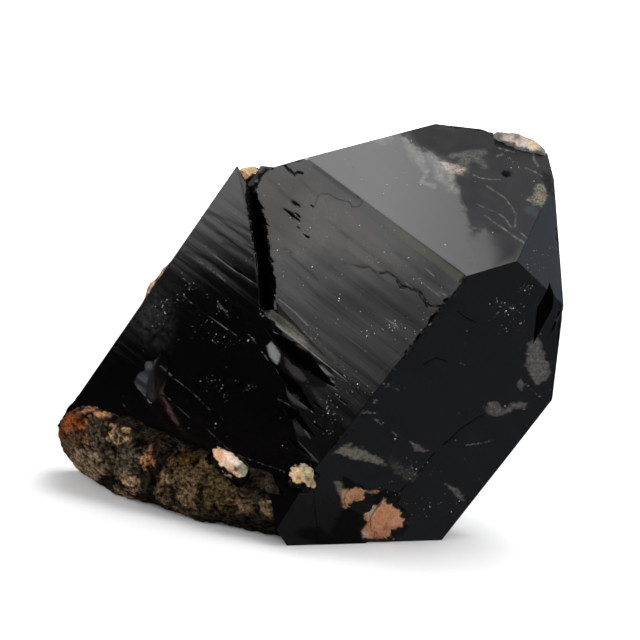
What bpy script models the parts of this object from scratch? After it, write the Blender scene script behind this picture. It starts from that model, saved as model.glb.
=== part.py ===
"""Morion quartz point: two black quartz crystals grown together on a piece of feldspar rock.

Metres, +Z up, +X to the right and +Y to the back of the view that shows the big front face.
The origin is the middle of the box's bottom, and the flat cut under the rock lies at z = 0.
"""
import math

import bmesh
import bpy
from mathutils import Matrix, Vector, noise

MM = 0.001
GAP = 0.3 * MM

# Where the two front faces and the big tip face of the main crystal meet
SHOULDER = Vector((25.0, -20.5, 51.3)) * MM
# How each crystal leans from level, where it heads, and how it is turned about its length
MAIN_LEAN, MAIN_HEADING, MAIN_SPIN = (math.radians(a) for a in (58.4, 16.7, -37.6))
LEFT_LEAN, LEFT_HEADING, LEFT_SPIN = (math.radians(a) for a in (63.0, 5.6, -33.5))
# Quartz tip faces stand 38.2 degrees off the side faces that they grow from
TIP_SLOPE = math.radians(38.2)

# Distances from the shoulder to the main crystal's faces
RIGHT_SIDE = 31.6 * MM
BACK_SIDE = 43.0 * MM
BACK_LEFT_SIDE = 45.0 * MM
LEFT_SIDE = 38.5 * MM
RIGHT_TIP = 5.0 * MM
FAR_RIGHT_TIP = 21.0 * MM
BACK_TIP = 38.0 * MM
BACK_LEFT_TIP = 38.5 * MM
LEFT_TIP = 25.6 * MM
BROKEN_CREST = 28.4 * MM

# The seam between the crystals, in the plane of the main front face
SEAM_TOP = Vector((-40.7, 15.6, 9.9)) * MM
SEAM_FOOT = Vector((-22.6, -5.9, -35.8)) * MM
SEAM_LEAN = math.radians(20)
# Distances from the top of the seam to the left crystal's faces
LEFT_EDGE = 3.3 * MM
LEFT_SIDE_TURN = math.radians(-5)
LEFT_CRYSTAL_BACK_LEFT = 15.0 * MM
LEFT_CRYSTAL_BACK = 27.0 * MM
LEFT_CRYSTAL_TIP = 3.1 * MM
LEFT_CRYSTAL_ROOT = 11.5 * MM

BLOCK_SIZE = 0.24
OUT_OF_WAY = 3.0 * MM
# Cutters that lie along a face stand this much out of it
PROUD = 0.08 * MM


def crystal_axes(lean, heading, spin):
    """The crystal's long direction and the outward directions of its six side faces."""
    flat = math.cos(lean)
    length = Vector((flat * math.cos(heading), flat * math.sin(heading), math.sin(lean)))
    level = Vector((math.sin(heading), -math.cos(heading), 0))
    first = Matrix.Rotation(spin, 3, length) @ level
    sides = [Matrix.Rotation(math.radians(60 * k), 3, length) @ first for k in range(6)]
    return length, sides


MAIN_LENGTH, MAIN = crystal_axes(MAIN_LEAN, MAIN_HEADING, MAIN_SPIN)
LEFT_LENGTH, LEFT = crystal_axes(LEFT_LEAN, LEFT_HEADING, LEFT_SPIN)
FRONT, FRONT_RIGHT, RIGHT, BACK, BACK_LEFT, FAR_LEFT = range(6)
# Along the growth lines of the main crystal's front and right-hand front faces
FRONT_ALONG = MAIN_LENGTH.cross(MAIN[FRONT])
FRONT_RIGHT_ALONG = MAIN_LENGTH.cross(MAIN[FRONT_RIGHT])


def tip(length, side):
    """The outward direction of the tip face that grows from a side face."""
    return math.cos(TIP_SLOPE) * side + math.sin(TIP_SLOPE) * length


def at(x, y, z):
    """A point given in millimetres from the shoulder."""
    return SHOULDER + Vector((x, y, z)) * MM


def on_front(along, up, out=0.0):
    """A point on the main front face, in millimetres along its growth lines, up it and out of it."""
    return SHOULDER + (FRONT_ALONG * along + MAIN_LENGTH * up + MAIN[FRONT] * out) * MM


def on_front_right(along, up, out=0.0):
    """The same on the right-hand front face."""
    return SHOULDER + (FRONT_RIGHT_ALONG * along + MAIN_LENGTH * up + MAIN[FRONT_RIGHT] * out) * MM


def new_collection(name):
    collection = bpy.data.collections.new(name)
    bpy.context.scene.collection.children.link(collection)
    return collection


def clear_scene():
    for thing in list(bpy.data.objects):
        bpy.data.objects.remove(thing)


def add_object(name, bm, collection):
    """Makes a mesh object of what was modelled in bm."""
    mesh = bpy.data.meshes.new(name)
    bmesh.ops.recalc_face_normals(bm, faces=bm.faces)
    bm.to_mesh(mesh)
    bm.free()
    thing = bpy.data.objects.new(name, mesh)
    collection.objects.link(thing)
    return thing


def add_cutter(name, bm):
    """The same for a shape that only cuts or joins others."""
    cutter = add_object(name, bm, CUTTERS)
    cutter.hide_render = True
    cutter.display_type = "WIRE"
    return cutter


def cut_to_faces(bm, faces):
    """Cuts what is in bm flat at each face, given by its outward direction and a point on it."""
    for outward, point in faces:
        everything = bm.verts[:] + bm.edges[:] + bm.faces[:]
        cut = bmesh.ops.bisect_plane(
            bm, geom=everything, plane_co=point, plane_no=outward, clear_outer=True, dist=1e-7
        )
        rim = [e for e in cut["geom_cut"] if isinstance(e, bmesh.types.BMEdge)]
        if rim:
            bmesh.ops.contextual_create(bm, geom=rim)


def faceted_block(faces, grow=0.0):
    """A flat-sided block with one flat side for each face, every side moved out by grow."""
    bm = bmesh.new()
    bmesh.ops.create_cube(bm, size=BLOCK_SIZE, matrix=Matrix.Translation(SHOULDER))
    cut_to_faces(bm, [(outward, point + outward * grow) for outward, point in faces])
    return bm


def boolean(target, other, operation):
    change = target.modifiers.new(other.name, "BOOLEAN")
    change.operation = operation
    change.solver = "EXACT"
    change.object = other


def cut(target, *cutters):
    for cutter in cutters:
        boolean(target, cutter, "DIFFERENCE")


def join(target, *others):
    for other in others:
        boolean(target, other, "UNION")


def material(name, colour, roughness):
    stuff = bpy.data.materials.new(name)
    stuff.use_nodes = True
    shader = stuff.node_tree.nodes["Principled BSDF"]
    shader.inputs["Base Color"].default_value = (*colour, 1)
    shader.inputs["Roughness"].default_value = roughness
    shader.inputs["Metallic"].default_value = 0.0
    return stuff


def seam_sides():
    """Directions in which each crystal stops at the seam, leaning under the other one."""
    seam = (SEAM_FOOT - SEAM_TOP).normalized()
    rightward = seam.cross(MAIN[FRONT]).normalized()
    if rightward.x < 0:
        rightward.negate()
    out = MAIN[FRONT] * math.sin(SEAM_LEAN)
    return rightward * math.cos(SEAM_LEAN) + out, -rightward * math.cos(SEAM_LEAN) + out


def left_tip_direction():
    """The left tip face, turned back about the edge that it shares with the big tip face."""
    front_tip = tip(MAIN_LENGTH, MAIN[FRONT])
    left_tip = tip(MAIN_LENGTH, MAIN[FAR_LEFT])
    edge = front_tip.cross(left_tip)
    return Matrix.Rotation(math.radians(6), 3, edge) @ left_tip, front_tip, left_tip


def main_crystal_faces():
    turned_tip, front_tip, left_tip = left_tip_direction()
    shared_edge = SHOULDER + left_tip * LEFT_TIP
    edge_line = front_tip.cross(left_tip).normalized()
    towards_tip = edge_line.cross(left_tip).normalized()
    shared_edge -= towards_tip * ((shared_edge - SHOULDER).dot(front_tip) / towards_tip.dot(front_tip))
    distances = (
        (MAIN[FRONT], 0.0),
        (MAIN[FRONT_RIGHT], 0.0),
        (MAIN[RIGHT], RIGHT_SIDE),
        (MAIN[BACK], BACK_SIDE),
        (MAIN[BACK_LEFT], BACK_LEFT_SIDE),
        (MAIN[FAR_LEFT], LEFT_SIDE),
        (front_tip, 0.0),
        (tip(MAIN_LENGTH, MAIN[FRONT_RIGHT]), RIGHT_TIP),
        (tip(MAIN_LENGTH, MAIN[RIGHT]), FAR_RIGHT_TIP),
        (tip(MAIN_LENGTH, MAIN[BACK]), BACK_TIP),
        (tip(MAIN_LENGTH, MAIN[BACK_LEFT]), BACK_LEFT_TIP),
        (Vector((0.17, 0.15, 0.974)), BROKEN_CREST),
    )
    faces = [(outward, SHOULDER + outward * distance) for outward, distance in distances]
    faces.append((turned_tip, shared_edge))
    faces.append((seam_sides()[1], SHOULDER + SEAM_TOP))
    faces.append((Vector((0, 0, -1)), Vector((0, 0, 0))))
    return faces


def left_crystal_edge():
    """A point on the edge where the left crystal's front face meets its far side."""
    across = LEFT_LENGTH.cross(LEFT[FRONT])
    return SHOULDER + SEAM_TOP - across * (LEFT_EDGE / math.cos(math.radians(30)))


def left_crystal_side():
    """The far side of the left crystal, turned a little to the back about that edge."""
    return Matrix.Rotation(LEFT_SIDE_TURN, 3, LEFT_LENGTH) @ LEFT[FAR_LEFT]


def left_crystal_faces():
    top = SHOULDER + SEAM_TOP
    distances = (
        (LEFT[FRONT], 0.0),
        (LEFT[BACK_LEFT], LEFT_CRYSTAL_BACK_LEFT),
        (LEFT[BACK], LEFT_CRYSTAL_BACK),
        (tip(LEFT_LENGTH, LEFT[FAR_LEFT]), LEFT_CRYSTAL_TIP),
        (tip(LEFT_LENGTH, LEFT[BACK_LEFT]), LEFT_CRYSTAL_TIP),
        (seam_sides()[0], 0.0),
    )
    faces = [(outward, top + outward * distance) for outward, distance in distances]
    faces.append((left_crystal_side(), left_crystal_edge()))
    faces.append((MAIN[FRONT_RIGHT], SHOULDER - MAIN[FRONT_RIGHT] * 0.2 * MM))
    faces.append((Vector((0, 0, -1)), Vector((0, 0, LEFT_CRYSTAL_ROOT))))
    return faces


def foot_faces():
    """The low wedge where the right-hand front face runs on to the left, beside the rock."""
    return [
        (MAIN[FRONT_RIGHT], SHOULDER - MAIN[FRONT_RIGHT] * 0.1 * MM),
        (LEFT[FRONT], SHOULDER + SEAM_TOP - LEFT[FRONT] * 0.1 * MM),
        (Vector((-0.87, 0.26, -0.417)).normalized(), at(-29.6, -8.2, -43)),
        (FRONT_RIGHT_ALONG, on_front_right(22, 0)),
        (Vector((0, 1, 0)), at(0, 12, 0)),
        (Vector((0, 0, 1)), at(0, 0, -35)),
        (Vector((0, 0, -1)), Vector((0, 0, 0))),
    ]


def notch_faces():
    """The open notch between the tops of the two crystals."""
    left_top, foot, right_top = at(-43.4, 16.5, 12.6), at(-40.6, 15.4, 8.6), at(-37.6, 15.4, 12.9)
    back = at(-40.6, 21.5, 10.0)
    deep = Vector((0.1, 1.0, -0.25)).normalized()
    left_wall = (left_top - foot).cross(deep).normalized()
    right_wall = deep.cross(right_top - foot).normalized()
    return [(left_wall, foot), (right_wall, foot), (deep, back), (-deep, at(-40.6, 4.0, 10.0)),
            (Vector((0, 0, 1)), at(0, 0, 30))]


def spindle(name, start, end, outward, width, depth):
    """A four-sided cutter, pointed at both ends, that lies along a face and sinks into it."""
    start, end = start + outward * PROUD, end + outward * PROUD
    along = end - start
    across = outward.cross(along).normalized()
    turn = Matrix((across, outward, along.normalized())).transposed().to_4x4()
    size = Matrix.Diagonal((width / 2, depth, along.length / 2, 1))
    bm = bmesh.new()
    bmesh.ops.create_uvsphere(bm, u_segments=4, v_segments=2, radius=1)
    bmesh.ops.transform(bm, matrix=Matrix.Translation((start + end) / 2) @ turn @ size, verts=bm.verts)
    return add_cutter(name, bm)


def growth_slots():
    """Slots and teeth along the growth lines of the front face."""
    slots = (
        (-35.4, -9.9, 4.9, 0.75), (-32.8, -9.2, 1.8, 0.6), (-35.0, -7.7, 2.6, 0.5),
        (-29.2, -11.3, 2.0, 0.5), (-30.2, -15.6, 2.0, 0.45), (-40.4, -3.5, 4.0, 0.55),
        (-22.0, -20.5, 6.0, 0.35), (-14.0, -14.0, 5.0, 0.3), (-26.0, -6.8, 5.0, 0.3),
        (-9.0, -34.0, 4.0, 0.45), (-7.5, -36.9, 5.0, 0.5), (-6.0, -30.6, 3.6, 0.4),
    )
    for number, (along, up, length, width) in enumerate(slots):
        start, end = on_front(along, up), on_front(along + length, up - 0.1)
        yield spindle(f"growth_slot_{number}", start, end, MAIN[FRONT], width * MM, 0.7 * MM)
    teeth = ((-42.2, -10.6), (-39.6, -12.0), (-37.2, -13.9), (-34.9, -16.0), (-32.6, -18.3), (-30.0, -20.6))
    for number, (along, up) in enumerate(teeth):
        start, end = on_front(along - 2.0, up), on_front(along + 1.9 + 0.3 * (number % 3), up)
        yield spindle(f"seam_tooth_{number}", start, end, MAIN[FRONT], 1.1 * MM, 1.5 * MM)


def bright_ledge():
    """A long tread that faces up like the tip face, at the foot of the seam's open crack."""
    floor = tip(MAIN_LENGTH, MAIN[FRONT])
    wall_start, wall_end = on_front(-25.0, -24.1), on_front(-6.0, -27.2)
    wall = MAIN[FRONT].cross(wall_end - wall_start).normalized()
    if wall.dot(MAIN_LENGTH) < 0:
        wall.negate()
    faces = [
        (-floor, on_front(0, -27.4)),
        (wall, wall_start),
        (MAIN[FRONT], on_front(0, 0, 3)),
        (-FRONT_ALONG, on_front(-26.5, 0)),
        (FRONT_ALONG, on_front(-5.0, 0)),
    ]
    return add_cutter("bright_ledge", faceted_block(faces))


def trench(name, left, right, outward, depth, ends):
    """A cutter with two steep walls along the lines left and right, and flat ends."""
    ridge = (left[1] + right[1] - left[0] - right[0]).normalized()
    middle = (left[0] + left[1] + right[0] + right[1]) / 4 - outward * depth
    faces = [(outward, middle + outward * (depth + OUT_OF_WAY)), (-outward, middle)]
    for line, inside in ((left, right), (right, left)):
        wall = (line[1] - line[0]).cross(outward).normalized()
        if wall.dot(inside[0] - line[0]) > 0:
            wall.negate()
        faces.append(((wall - outward * 0.10).normalized(), line[0]))
    faces += [(-ridge, ends[0]), (ridge, ends[1])]
    return add_cutter(name, faceted_block(faces))


def seam_hollows():
    """The crack along the seam and the hollows and small facets below it."""
    front = MAIN[FRONT]
    left_wall = (on_front(-43.6, -9.6), on_front(-26.6, -26.4))
    right_wall = (on_front(-42.2, -9.6), on_front(-24.5, -24.9))
    yield trench("seam_crack", left_wall, right_wall, front, 5 * MM, (on_front(-45, -7), on_front(-25.7, -26.0)))
    yield bright_ledge()
    yield spindle("long_hollow", on_front(-25.0, -28.9), on_front(-5.6, -29.6), front, 3.8 * MM, 3.6 * MM)
    yield spindle("facet_hollow_1", on_front(-19.2, -33.0), on_front(-5.8, -35.4), front, 2.6 * MM, 2.2 * MM)
    yield spindle("facet_hollow_2", on_front(-15.6, -37.2), on_front(-3.4, -38.6), front, 2.4 * MM, 2.0 * MM)
    yield spindle("facet_hollow_3", on_front(-10.4, -41.6), on_front(-0.9, -41.9), front, 1.6 * MM, 1.4 * MM)


def right_face_marks():
    """The hollow at the right-hand corner and the low ledge on the right-hand front face."""
    outward = MAIN[FRONT_RIGHT]
    start, end = on_front_right(16.9, 11.6), on_front_right(23.6, -1.2)
    yield spindle("corner_hollow", start, end, outward, 3.8 * MM, 3.2 * MM)
    start, end = on_front_right(24.0, 9.5), on_front_right(26.0, 0.5)
    yield spindle("corner_hollow_side", start, end, outward, 1.6 * MM, 1.0 * MM)
    floor = (outward - MAIN_LENGTH * 0.02).normalized()
    ledge = [
        (-floor, on_front_right(0, -19.0, 0)),
        (-FRONT_RIGHT_ALONG, on_front_right(21.2, 0)),
        (outward, on_front_right(0, 0, 5)),
    ]
    yield add_cutter("low_ledge", faceted_block(ledge))
    chips = ((-0.4, -8.0, 3.0, 0.7), (-0.2, -12.5, 2.4, 0.9), (0.1, -17.0, 2.0, 0.6), (0.0, -36.0, 3.2, 0.8))
    for number, (along, up, length, width) in enumerate(chips):
        edge = (MAIN[FRONT] + outward).normalized()
        start, end = on_front(along, up), on_front(along + 0.2, up - length)
        yield spindle(f"edge_chip_{number}", start, end, edge, width * MM, 0.6 * MM)


def left_face_marks():
    """The curved chip and the long ledges on the left crystal's face."""
    top, across = SHOULDER + SEAM_TOP, LEFT_LENGTH.cross(LEFT[FRONT])

    def on_left(along, up):
        return top + (across * along + LEFT_LENGTH * up) * MM

    bm = bmesh.new()
    bmesh.ops.create_icosphere(bm, subdivisions=2, radius=1)
    turn = Matrix((across, LEFT[FRONT], LEFT_LENGTH)).transposed().to_4x4()
    lean = Matrix.Rotation(math.radians(20), 4, LEFT[FRONT])
    size = Matrix.Diagonal((2.0 * MM, 0.9 * MM, 5.0 * MM, 1))
    place = Matrix.Translation(on_left(7.6, -38.5)) @ lean @ turn @ size
    bmesh.ops.transform(bm, matrix=place, verts=bm.verts)
    yield add_cutter("curved_chip", bm)
    ledges = ((6.0, -9.5, 11.0, 0.5), (2.0, -14.5, 12.0, 0.4), (1.0, -24.0, 16.0, 0.35), (12.0, -30.5, 13.0, 0.4))
    for number, (along, up, length, width) in enumerate(ledges):
        start, end = on_left(along, up), on_left(along + length, up + 0.4)
        yield spindle(f"left_ledge_{number}", start, end, LEFT[FRONT], width * MM, 0.5 * MM)


def notch_crystal():
    """A small dark crystal standing in the notch."""
    middle = at(-39.0, 18.2, 9.0)
    half = 1.9 * MM
    faces = [(side, middle + side * half) for side in MAIN]
    faces += [(tip(MAIN_LENGTH, side), middle + tip(MAIN_LENGTH, side) * half * 1.45) for side in MAIN[::2]]
    faces.append((-MAIN_LENGTH, middle - MAIN_LENGTH * 6 * MM))
    return add_cutter("notch_crystal", faceted_block(faces))


def grown_crystals(name, grow):
    """Both crystals joined, every face moved out by grow, with the notch between them."""
    left = add_cutter(name + "_left", faceted_block(left_crystal_faces(), grow))
    notch = add_cutter(name + "_notch", faceted_block(notch_faces(), -grow))
    foot = add_cutter(name + "_foot", faceted_block(foot_faces(), grow))
    main = add_cutter(name, faceted_block(main_crystal_faces(), grow))
    join(main, left, foot)
    cut(main, notch)
    return main


def morion_crystals():
    left = add_cutter("left_crystal", faceted_block(left_crystal_faces()))
    foot = add_cutter("crystal_foot", faceted_block(foot_faces()))
    notch = add_cutter("notch", faceted_block(notch_faces()))
    crystals = add_object("morion_crystals", faceted_block(main_crystal_faces()), PARTS)
    join(crystals, left, foot)
    cut(crystals, notch)
    cut(crystals, *seam_hollows(), *growth_slots(), *right_face_marks(), *left_face_marks())
    join(crystals, notch_crystal())
    return crystals


def reach_to_faces(direction, middle, faces):
    """How far it is from middle to the nearest face in that direction."""
    reach = BLOCK_SIZE
    for outward, point in faces:
        facing = direction.dot(outward)
        if facing > 1e-6:
            reach = min(reach, (point - middle).dot(outward) / facing)
    return reach


def lump(middle, faces, detail, roughness, grain, seed, grow=0.0):
    """A rough lump: a ball pushed out to the faces, then roughened by noise of the given grain."""
    bm = bmesh.new()
    bmesh.ops.create_icosphere(bm, subdivisions=detail, radius=1)
    shift = Vector((seed * 7.3, seed * 3.1, seed * 5.7))
    for v in bm.verts:
        direction = v.co.normalized()
        place = middle + direction * reach_to_faces(direction, middle, faces)
        bump = noise.noise(place / grain + shift) + 0.5 * noise.noise(place * 2 / grain + shift)
        v.co = place + direction * (bump * roughness + grow)
    return bm


def box_faces(middle, half, turn):
    """The faces of a turned box with its corners cut off, for a lump."""
    directions = [Vector((1, 0, 0)), Vector((0, 1, 0)), Vector((0, 0, 1))]
    faces = []
    for direction, size in zip(directions, half):
        for sign in (1, -1):
            faces.append((turn @ direction * sign, middle + turn @ direction * sign * size))
    reach = Vector(half).length * 0.78
    for x in (1, -1):
        for y in (1, -1):
            for z in (1, -1):
                corner = Vector((x * half[0], y * half[1], z * half[2])).normalized()
                faces.append((turn @ corner, middle + turn @ corner * reach))
    return faces


def face_turn(outward, along, degrees=0.0):
    """A turn whose Y points out of a face and whose X runs along it, then spun by degrees."""
    up = along.cross(outward)
    spin = Matrix.Rotation(math.radians(degrees), 3, outward)
    return spin @ Matrix((along, outward, -up)).transposed()


def feldspar(name, middle, half, turn, seed, roughness=0.35, grain=2.2, detail=3):
    """One feldspar lump, and a copy grown by the gap that makes room for it."""
    half = [size * MM for size in half]
    faces = box_faces(middle, half, turn)
    solid = add_object(name, lump(middle, faces, detail, roughness * MM, grain * MM, seed), PARTS)
    room = lump(middle, faces, detail, roughness * MM, grain * MM, seed, GAP)
    return solid, add_cutter(name + "_room", room)


def rock_faces():
    """The rough sides of the rock that carries the crystals."""
    sides = (
        ((0, 0, -1), (0, 0, -52.5)),
        ((-0.40, -0.90, -0.10), (-50, 4.2, -40)),
        ((0.10, -0.98, -0.15), (-30, -7.0, -44)),
        ((-0.10, -0.50, -0.86), (-33, -4.6, -47.0)),
        ((-0.95, -0.10, -0.30), (-69.9, 15, -40)),
        ((-0.62, -0.35, -0.70), (-62.4, 10.5, -44.4)),
        ((-0.35, -0.45, -0.82), (-52.6, 5.6, -47.2)),
        ((-0.50, 0.80, -0.10), (-60.6, 37, -40)),
        ((0, 0.98, 0.10), (-40, 41, -40)),
        ((0.87, -0.26, 0.417), (-27.2, -8.2, -43)),
        ((-0.10, -0.42, 0.90), (-50, 6.2, -36.4)),
        ((-0.55, -0.10, 0.83), (-67.2, 13.8, -36.2)),
    )
    faces = [(Vector(outward).normalized(), at(*point)) for outward, point in sides]
    faces.append((left_crystal_side(), left_crystal_edge() + left_crystal_side() * 0.4 * MM))
    return faces


def matrix_rock(neighbours):
    middle = at(-44, 16, -44)
    bm = lump(middle, rock_faces(), 5, 1.1 * MM, 6.5 * MM, 1)
    cut_to_faces(bm, [(Vector((0, 0, -1)), Vector((0, 0, 0)))])
    rock = add_object("matrix_rock", bm, PARTS)
    cut(rock, *neighbours)
    return rock


def rim_feldspar():
    """The feldspar crust behind the left edge, with three lumps that show past it."""
    outward, edge = left_crystal_side(), left_crystal_edge()
    along = LEFT_LENGTH.cross(outward)

    def behind_edge(depth, up, out):
        return edge + (LEFT_LENGTH * up - along * depth + outward * out) * MM

    turn = face_turn(outward, along)
    crust_middle = behind_edge(9.5, -28.0, 0.2)
    faces = box_faces(crust_middle, [6.0 * MM, 1.7 * MM, 10.0 * MM], turn)
    crust = add_object("rim_feldspar", lump(crust_middle, faces, 3, 0.8 * MM, 4 * MM, 21), PARTS)
    for number, (depth, up, size) in enumerate(((3.0, -20.0, 1.1), (2.6, -22.9, 1.4), (2.8, -26.6, 1.9))):
        middle = behind_edge(depth, up, 0.4)
        faces = box_faces(middle, [size * 1.4 * MM, size * MM, size * 1.2 * MM], turn)
        join(crust, add_cutter(f"rim_lump_{number}", lump(middle, faces, 2, 0.3 * MM, 2 * MM, 30 + number)))
    return crust


clear_scene()
PARTS = new_collection("morion_quartz_point")
CUTTERS = new_collection("cutters")

QUARTZ = material("morion_quartz", (0.012, 0.011, 0.012), 0.08)
ROCK = material("feldspar_rock", (0.17, 0.14, 0.10), 0.85)
FELDSPAR = material("feldspar", (0.62, 0.40, 0.26), 0.65)
CRUST = material("pale_crust", (0.60, 0.55, 0.48), 0.8)

crystals = morion_crystals()
crystals.data.materials.append(QUARTZ)
crystal_room = grown_crystals("crystal_room", GAP)

FRONT_TURN = face_turn(LEFT[FRONT], LEFT_LENGTH.cross(LEFT[FRONT]))
RIGHT_TURN = face_turn(MAIN[FRONT_RIGHT], FRONT_RIGHT_ALONG)
CREST_TURN = Matrix.Rotation(math.radians(12), 3, "Y")
lumps = [
    feldspar("pink_feldspar", at(-36.7, -0.6, -39.4), (4.3, 2.3, 1.7), FRONT_TURN, 2),
    feldspar("cream_feldspar", at(-23.6, -6.6, -38.4), (2.3, 2.0, 2.0), FRONT_TURN, 3),
    feldspar("orange_feldspar_left", on_front_right(13.0, -42.6, -0.3), (3.6, 1.0, 1.8), RIGHT_TURN, 4),
    feldspar("orange_feldspar_right", on_front_right(22.4, -42.2, -0.3), (4.4, 1.2, 2.8), RIGHT_TURN, 5),
    feldspar("notch_feldspar", at(-40.9, 19.2, 11.0), (1.7, 1.4, 1.4), Matrix.Identity(3), 6),
    feldspar("crest_crust", at(8.3, 31.0, 22.9), (5.9, 2.2, 1.5), CREST_TURN, 7),
]
for solid, room in lumps:
    solid.data.materials.append(CRUST if solid.name == "crest_crust" else FELDSPAR)
    cut(crystals, room)

rim = rim_feldspar()
rim.data.materials.append(FELDSPAR)
cut(rim, crystal_room)

rock = matrix_rock([crystal_room] + [room for _, room in lumps])
rock.data.materials.append(ROCK)
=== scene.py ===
"""Morion quartz point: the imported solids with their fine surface, lit on a pale studio floor.

Metres, +Z up, in the part's own frame. Places on the faces are given as positions in the
picture, 640 by 640, and are carried onto the faces by the camera below.
"""

import math
import random

import bmesh
import bpy
import numpy as np
from mathutils import Matrix, Vector, noise


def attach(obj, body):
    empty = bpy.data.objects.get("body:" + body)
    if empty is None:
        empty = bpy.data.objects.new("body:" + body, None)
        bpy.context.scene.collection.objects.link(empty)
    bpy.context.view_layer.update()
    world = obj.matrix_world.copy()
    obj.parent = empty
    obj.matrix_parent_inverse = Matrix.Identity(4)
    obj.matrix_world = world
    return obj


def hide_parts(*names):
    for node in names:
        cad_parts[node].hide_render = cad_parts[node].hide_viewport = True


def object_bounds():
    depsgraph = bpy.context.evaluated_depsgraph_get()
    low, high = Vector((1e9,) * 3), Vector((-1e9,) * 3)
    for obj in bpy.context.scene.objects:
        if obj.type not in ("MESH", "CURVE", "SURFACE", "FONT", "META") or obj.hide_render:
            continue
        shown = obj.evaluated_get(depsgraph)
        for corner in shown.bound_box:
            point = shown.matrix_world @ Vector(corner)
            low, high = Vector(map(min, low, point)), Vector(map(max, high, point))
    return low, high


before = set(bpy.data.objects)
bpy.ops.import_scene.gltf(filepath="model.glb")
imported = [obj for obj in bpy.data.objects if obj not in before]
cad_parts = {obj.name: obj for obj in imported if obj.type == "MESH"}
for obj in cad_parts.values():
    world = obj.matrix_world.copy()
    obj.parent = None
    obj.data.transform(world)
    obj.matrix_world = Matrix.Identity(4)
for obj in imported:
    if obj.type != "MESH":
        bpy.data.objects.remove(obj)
CAD_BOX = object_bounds()

MM = 0.001
PICTURE = 640
SHOULDER = Vector((25.0, -20.5, 51.3)) * MM
MAIN_LEAN, MAIN_HEADING, MAIN_SPIN = (math.radians(a) for a in (58.4, 16.7, -37.6))
LEFT_LEAN, LEFT_HEADING, LEFT_SPIN = (math.radians(a) for a in (63.0, 5.6, -33.5))
TIP_SLOPE = math.radians(38.2)
RIGHT_TIP = 5.0 * MM
# How finely the faces that show are ruled into small facets, and how thin marks are halved again
GRID = 0.27 * MM
FINER_REACH = 2.4
SAME_FACING = 0.985
# Long sharp edges of the crystals are rounded off by this much
EDGE_WIDTH = 0.16 * MM
LONG_EDGE = 2.5 * MM
SHARP = math.radians(18)
QUARTZ_BLACK = (0.0010, 0.0010, 0.0012)
SMOOTH = math.radians(14)
SEAM_TOP = SHOULDER + Vector((-40.7, 15.6, 9.9)) * MM

# The camera: 0.4 m from the shoulder, looking down and leaning by 8 degrees
CAMERA_DISTANCE = 0.400
CAMERA_TILT = math.radians(8)
PIXELS_PER_METRE = 5700
SENSOR = 36.0
SHOULDER_IN_PICTURE = Vector((0.0257018, 0, 0.0077193))
CAMERA_TURN = Matrix.Rotation(-CAMERA_TILT, 3, "X") @ Matrix.Rotation(-CAMERA_TILT, 3, "Y")
EYE = SHOULDER + CAMERA_TURN @ (Vector((0, -CAMERA_DISTANCE, 0)) - SHOULDER_IN_PICTURE)


def crystal_axes(lean, heading, spin):
    """The crystal's long direction and the outward directions of its six side faces."""
    flat = math.cos(lean)
    length = Vector((flat * math.cos(heading), flat * math.sin(heading), math.sin(lean)))
    level = Vector((math.sin(heading), -math.cos(heading), 0))
    first = Matrix.Rotation(spin, 3, length) @ level
    return length, [Matrix.Rotation(math.radians(60 * k), 3, length) @ first for k in range(6)]


MAIN_LENGTH, MAIN = crystal_axes(MAIN_LEAN, MAIN_HEADING, MAIN_SPIN)
LEFT_LENGTH, LEFT = crystal_axes(LEFT_LEAN, LEFT_HEADING, LEFT_SPIN)
FRONT_TIP = math.cos(TIP_SLOPE) * MAIN[0] + math.sin(TIP_SLOPE) * MAIN_LENGTH
SIDE_TIP = math.cos(TIP_SLOPE) * MAIN[1] + math.sin(TIP_SLOPE) * MAIN_LENGTH
ALONG = MAIN_LENGTH.cross(MAIN[0])
# The faces that show: outward direction and a point on each
FACES = {
    "front": (MAIN[0], SHOULDER),
    "right": (MAIN[1], SHOULDER),
    "tip": (FRONT_TIP, SHOULDER),
    "side_tip": (SIDE_TIP, SHOULDER + SIDE_TIP * RIGHT_TIP),
    "left": (LEFT[0], SEAM_TOP),
}


def stand_camera():
    """Adds the camera and returns its right, up and backward directions."""
    data = bpy.data.cameras.new("camera")
    data.sensor_width = SENSOR
    data.lens = SENSOR * CAMERA_DISTANCE * PIXELS_PER_METRE / PICTURE
    data.clip_start, data.clip_end = 0.01, 20
    camera = bpy.data.objects.new("camera", data)
    camera.rotation_mode = "QUATERNION"
    axes = CAMERA_TURN @ Matrix(((1, 0, 0), (0, 0, -1), (0, 1, 0)))
    camera.matrix_world = Matrix.Translation(EYE) @ axes.to_4x4()
    bpy.context.scene.collection.objects.link(camera)
    bpy.context.scene.camera = camera
    return axes


CAMERA_AXES = stand_camera()


def sight(x, y):
    """The direction in which a place in the picture is seen."""
    reach = CAMERA_DISTANCE * PIXELS_PER_METRE
    return (CAMERA_AXES @ Vector((x - PICTURE / 2, PICTURE / 2 - y, -reach))).normalized()


def spot(face, x, y, out=0.0):
    """The place on a face that is seen at (x, y), moved out by so many millimetres."""
    outward, point = FACES[face]
    ray = sight(x, y)
    return EYE + ray * ((point - EYE).dot(outward) / ray.dot(outward)) + outward * out * MM


def mirrored(face, x, y):
    """The direction that is seen reflected in a face at that place."""
    outward, ray = FACES[face][0], sight(x, y)
    return ray - 2 * ray.dot(outward) * outward


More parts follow.
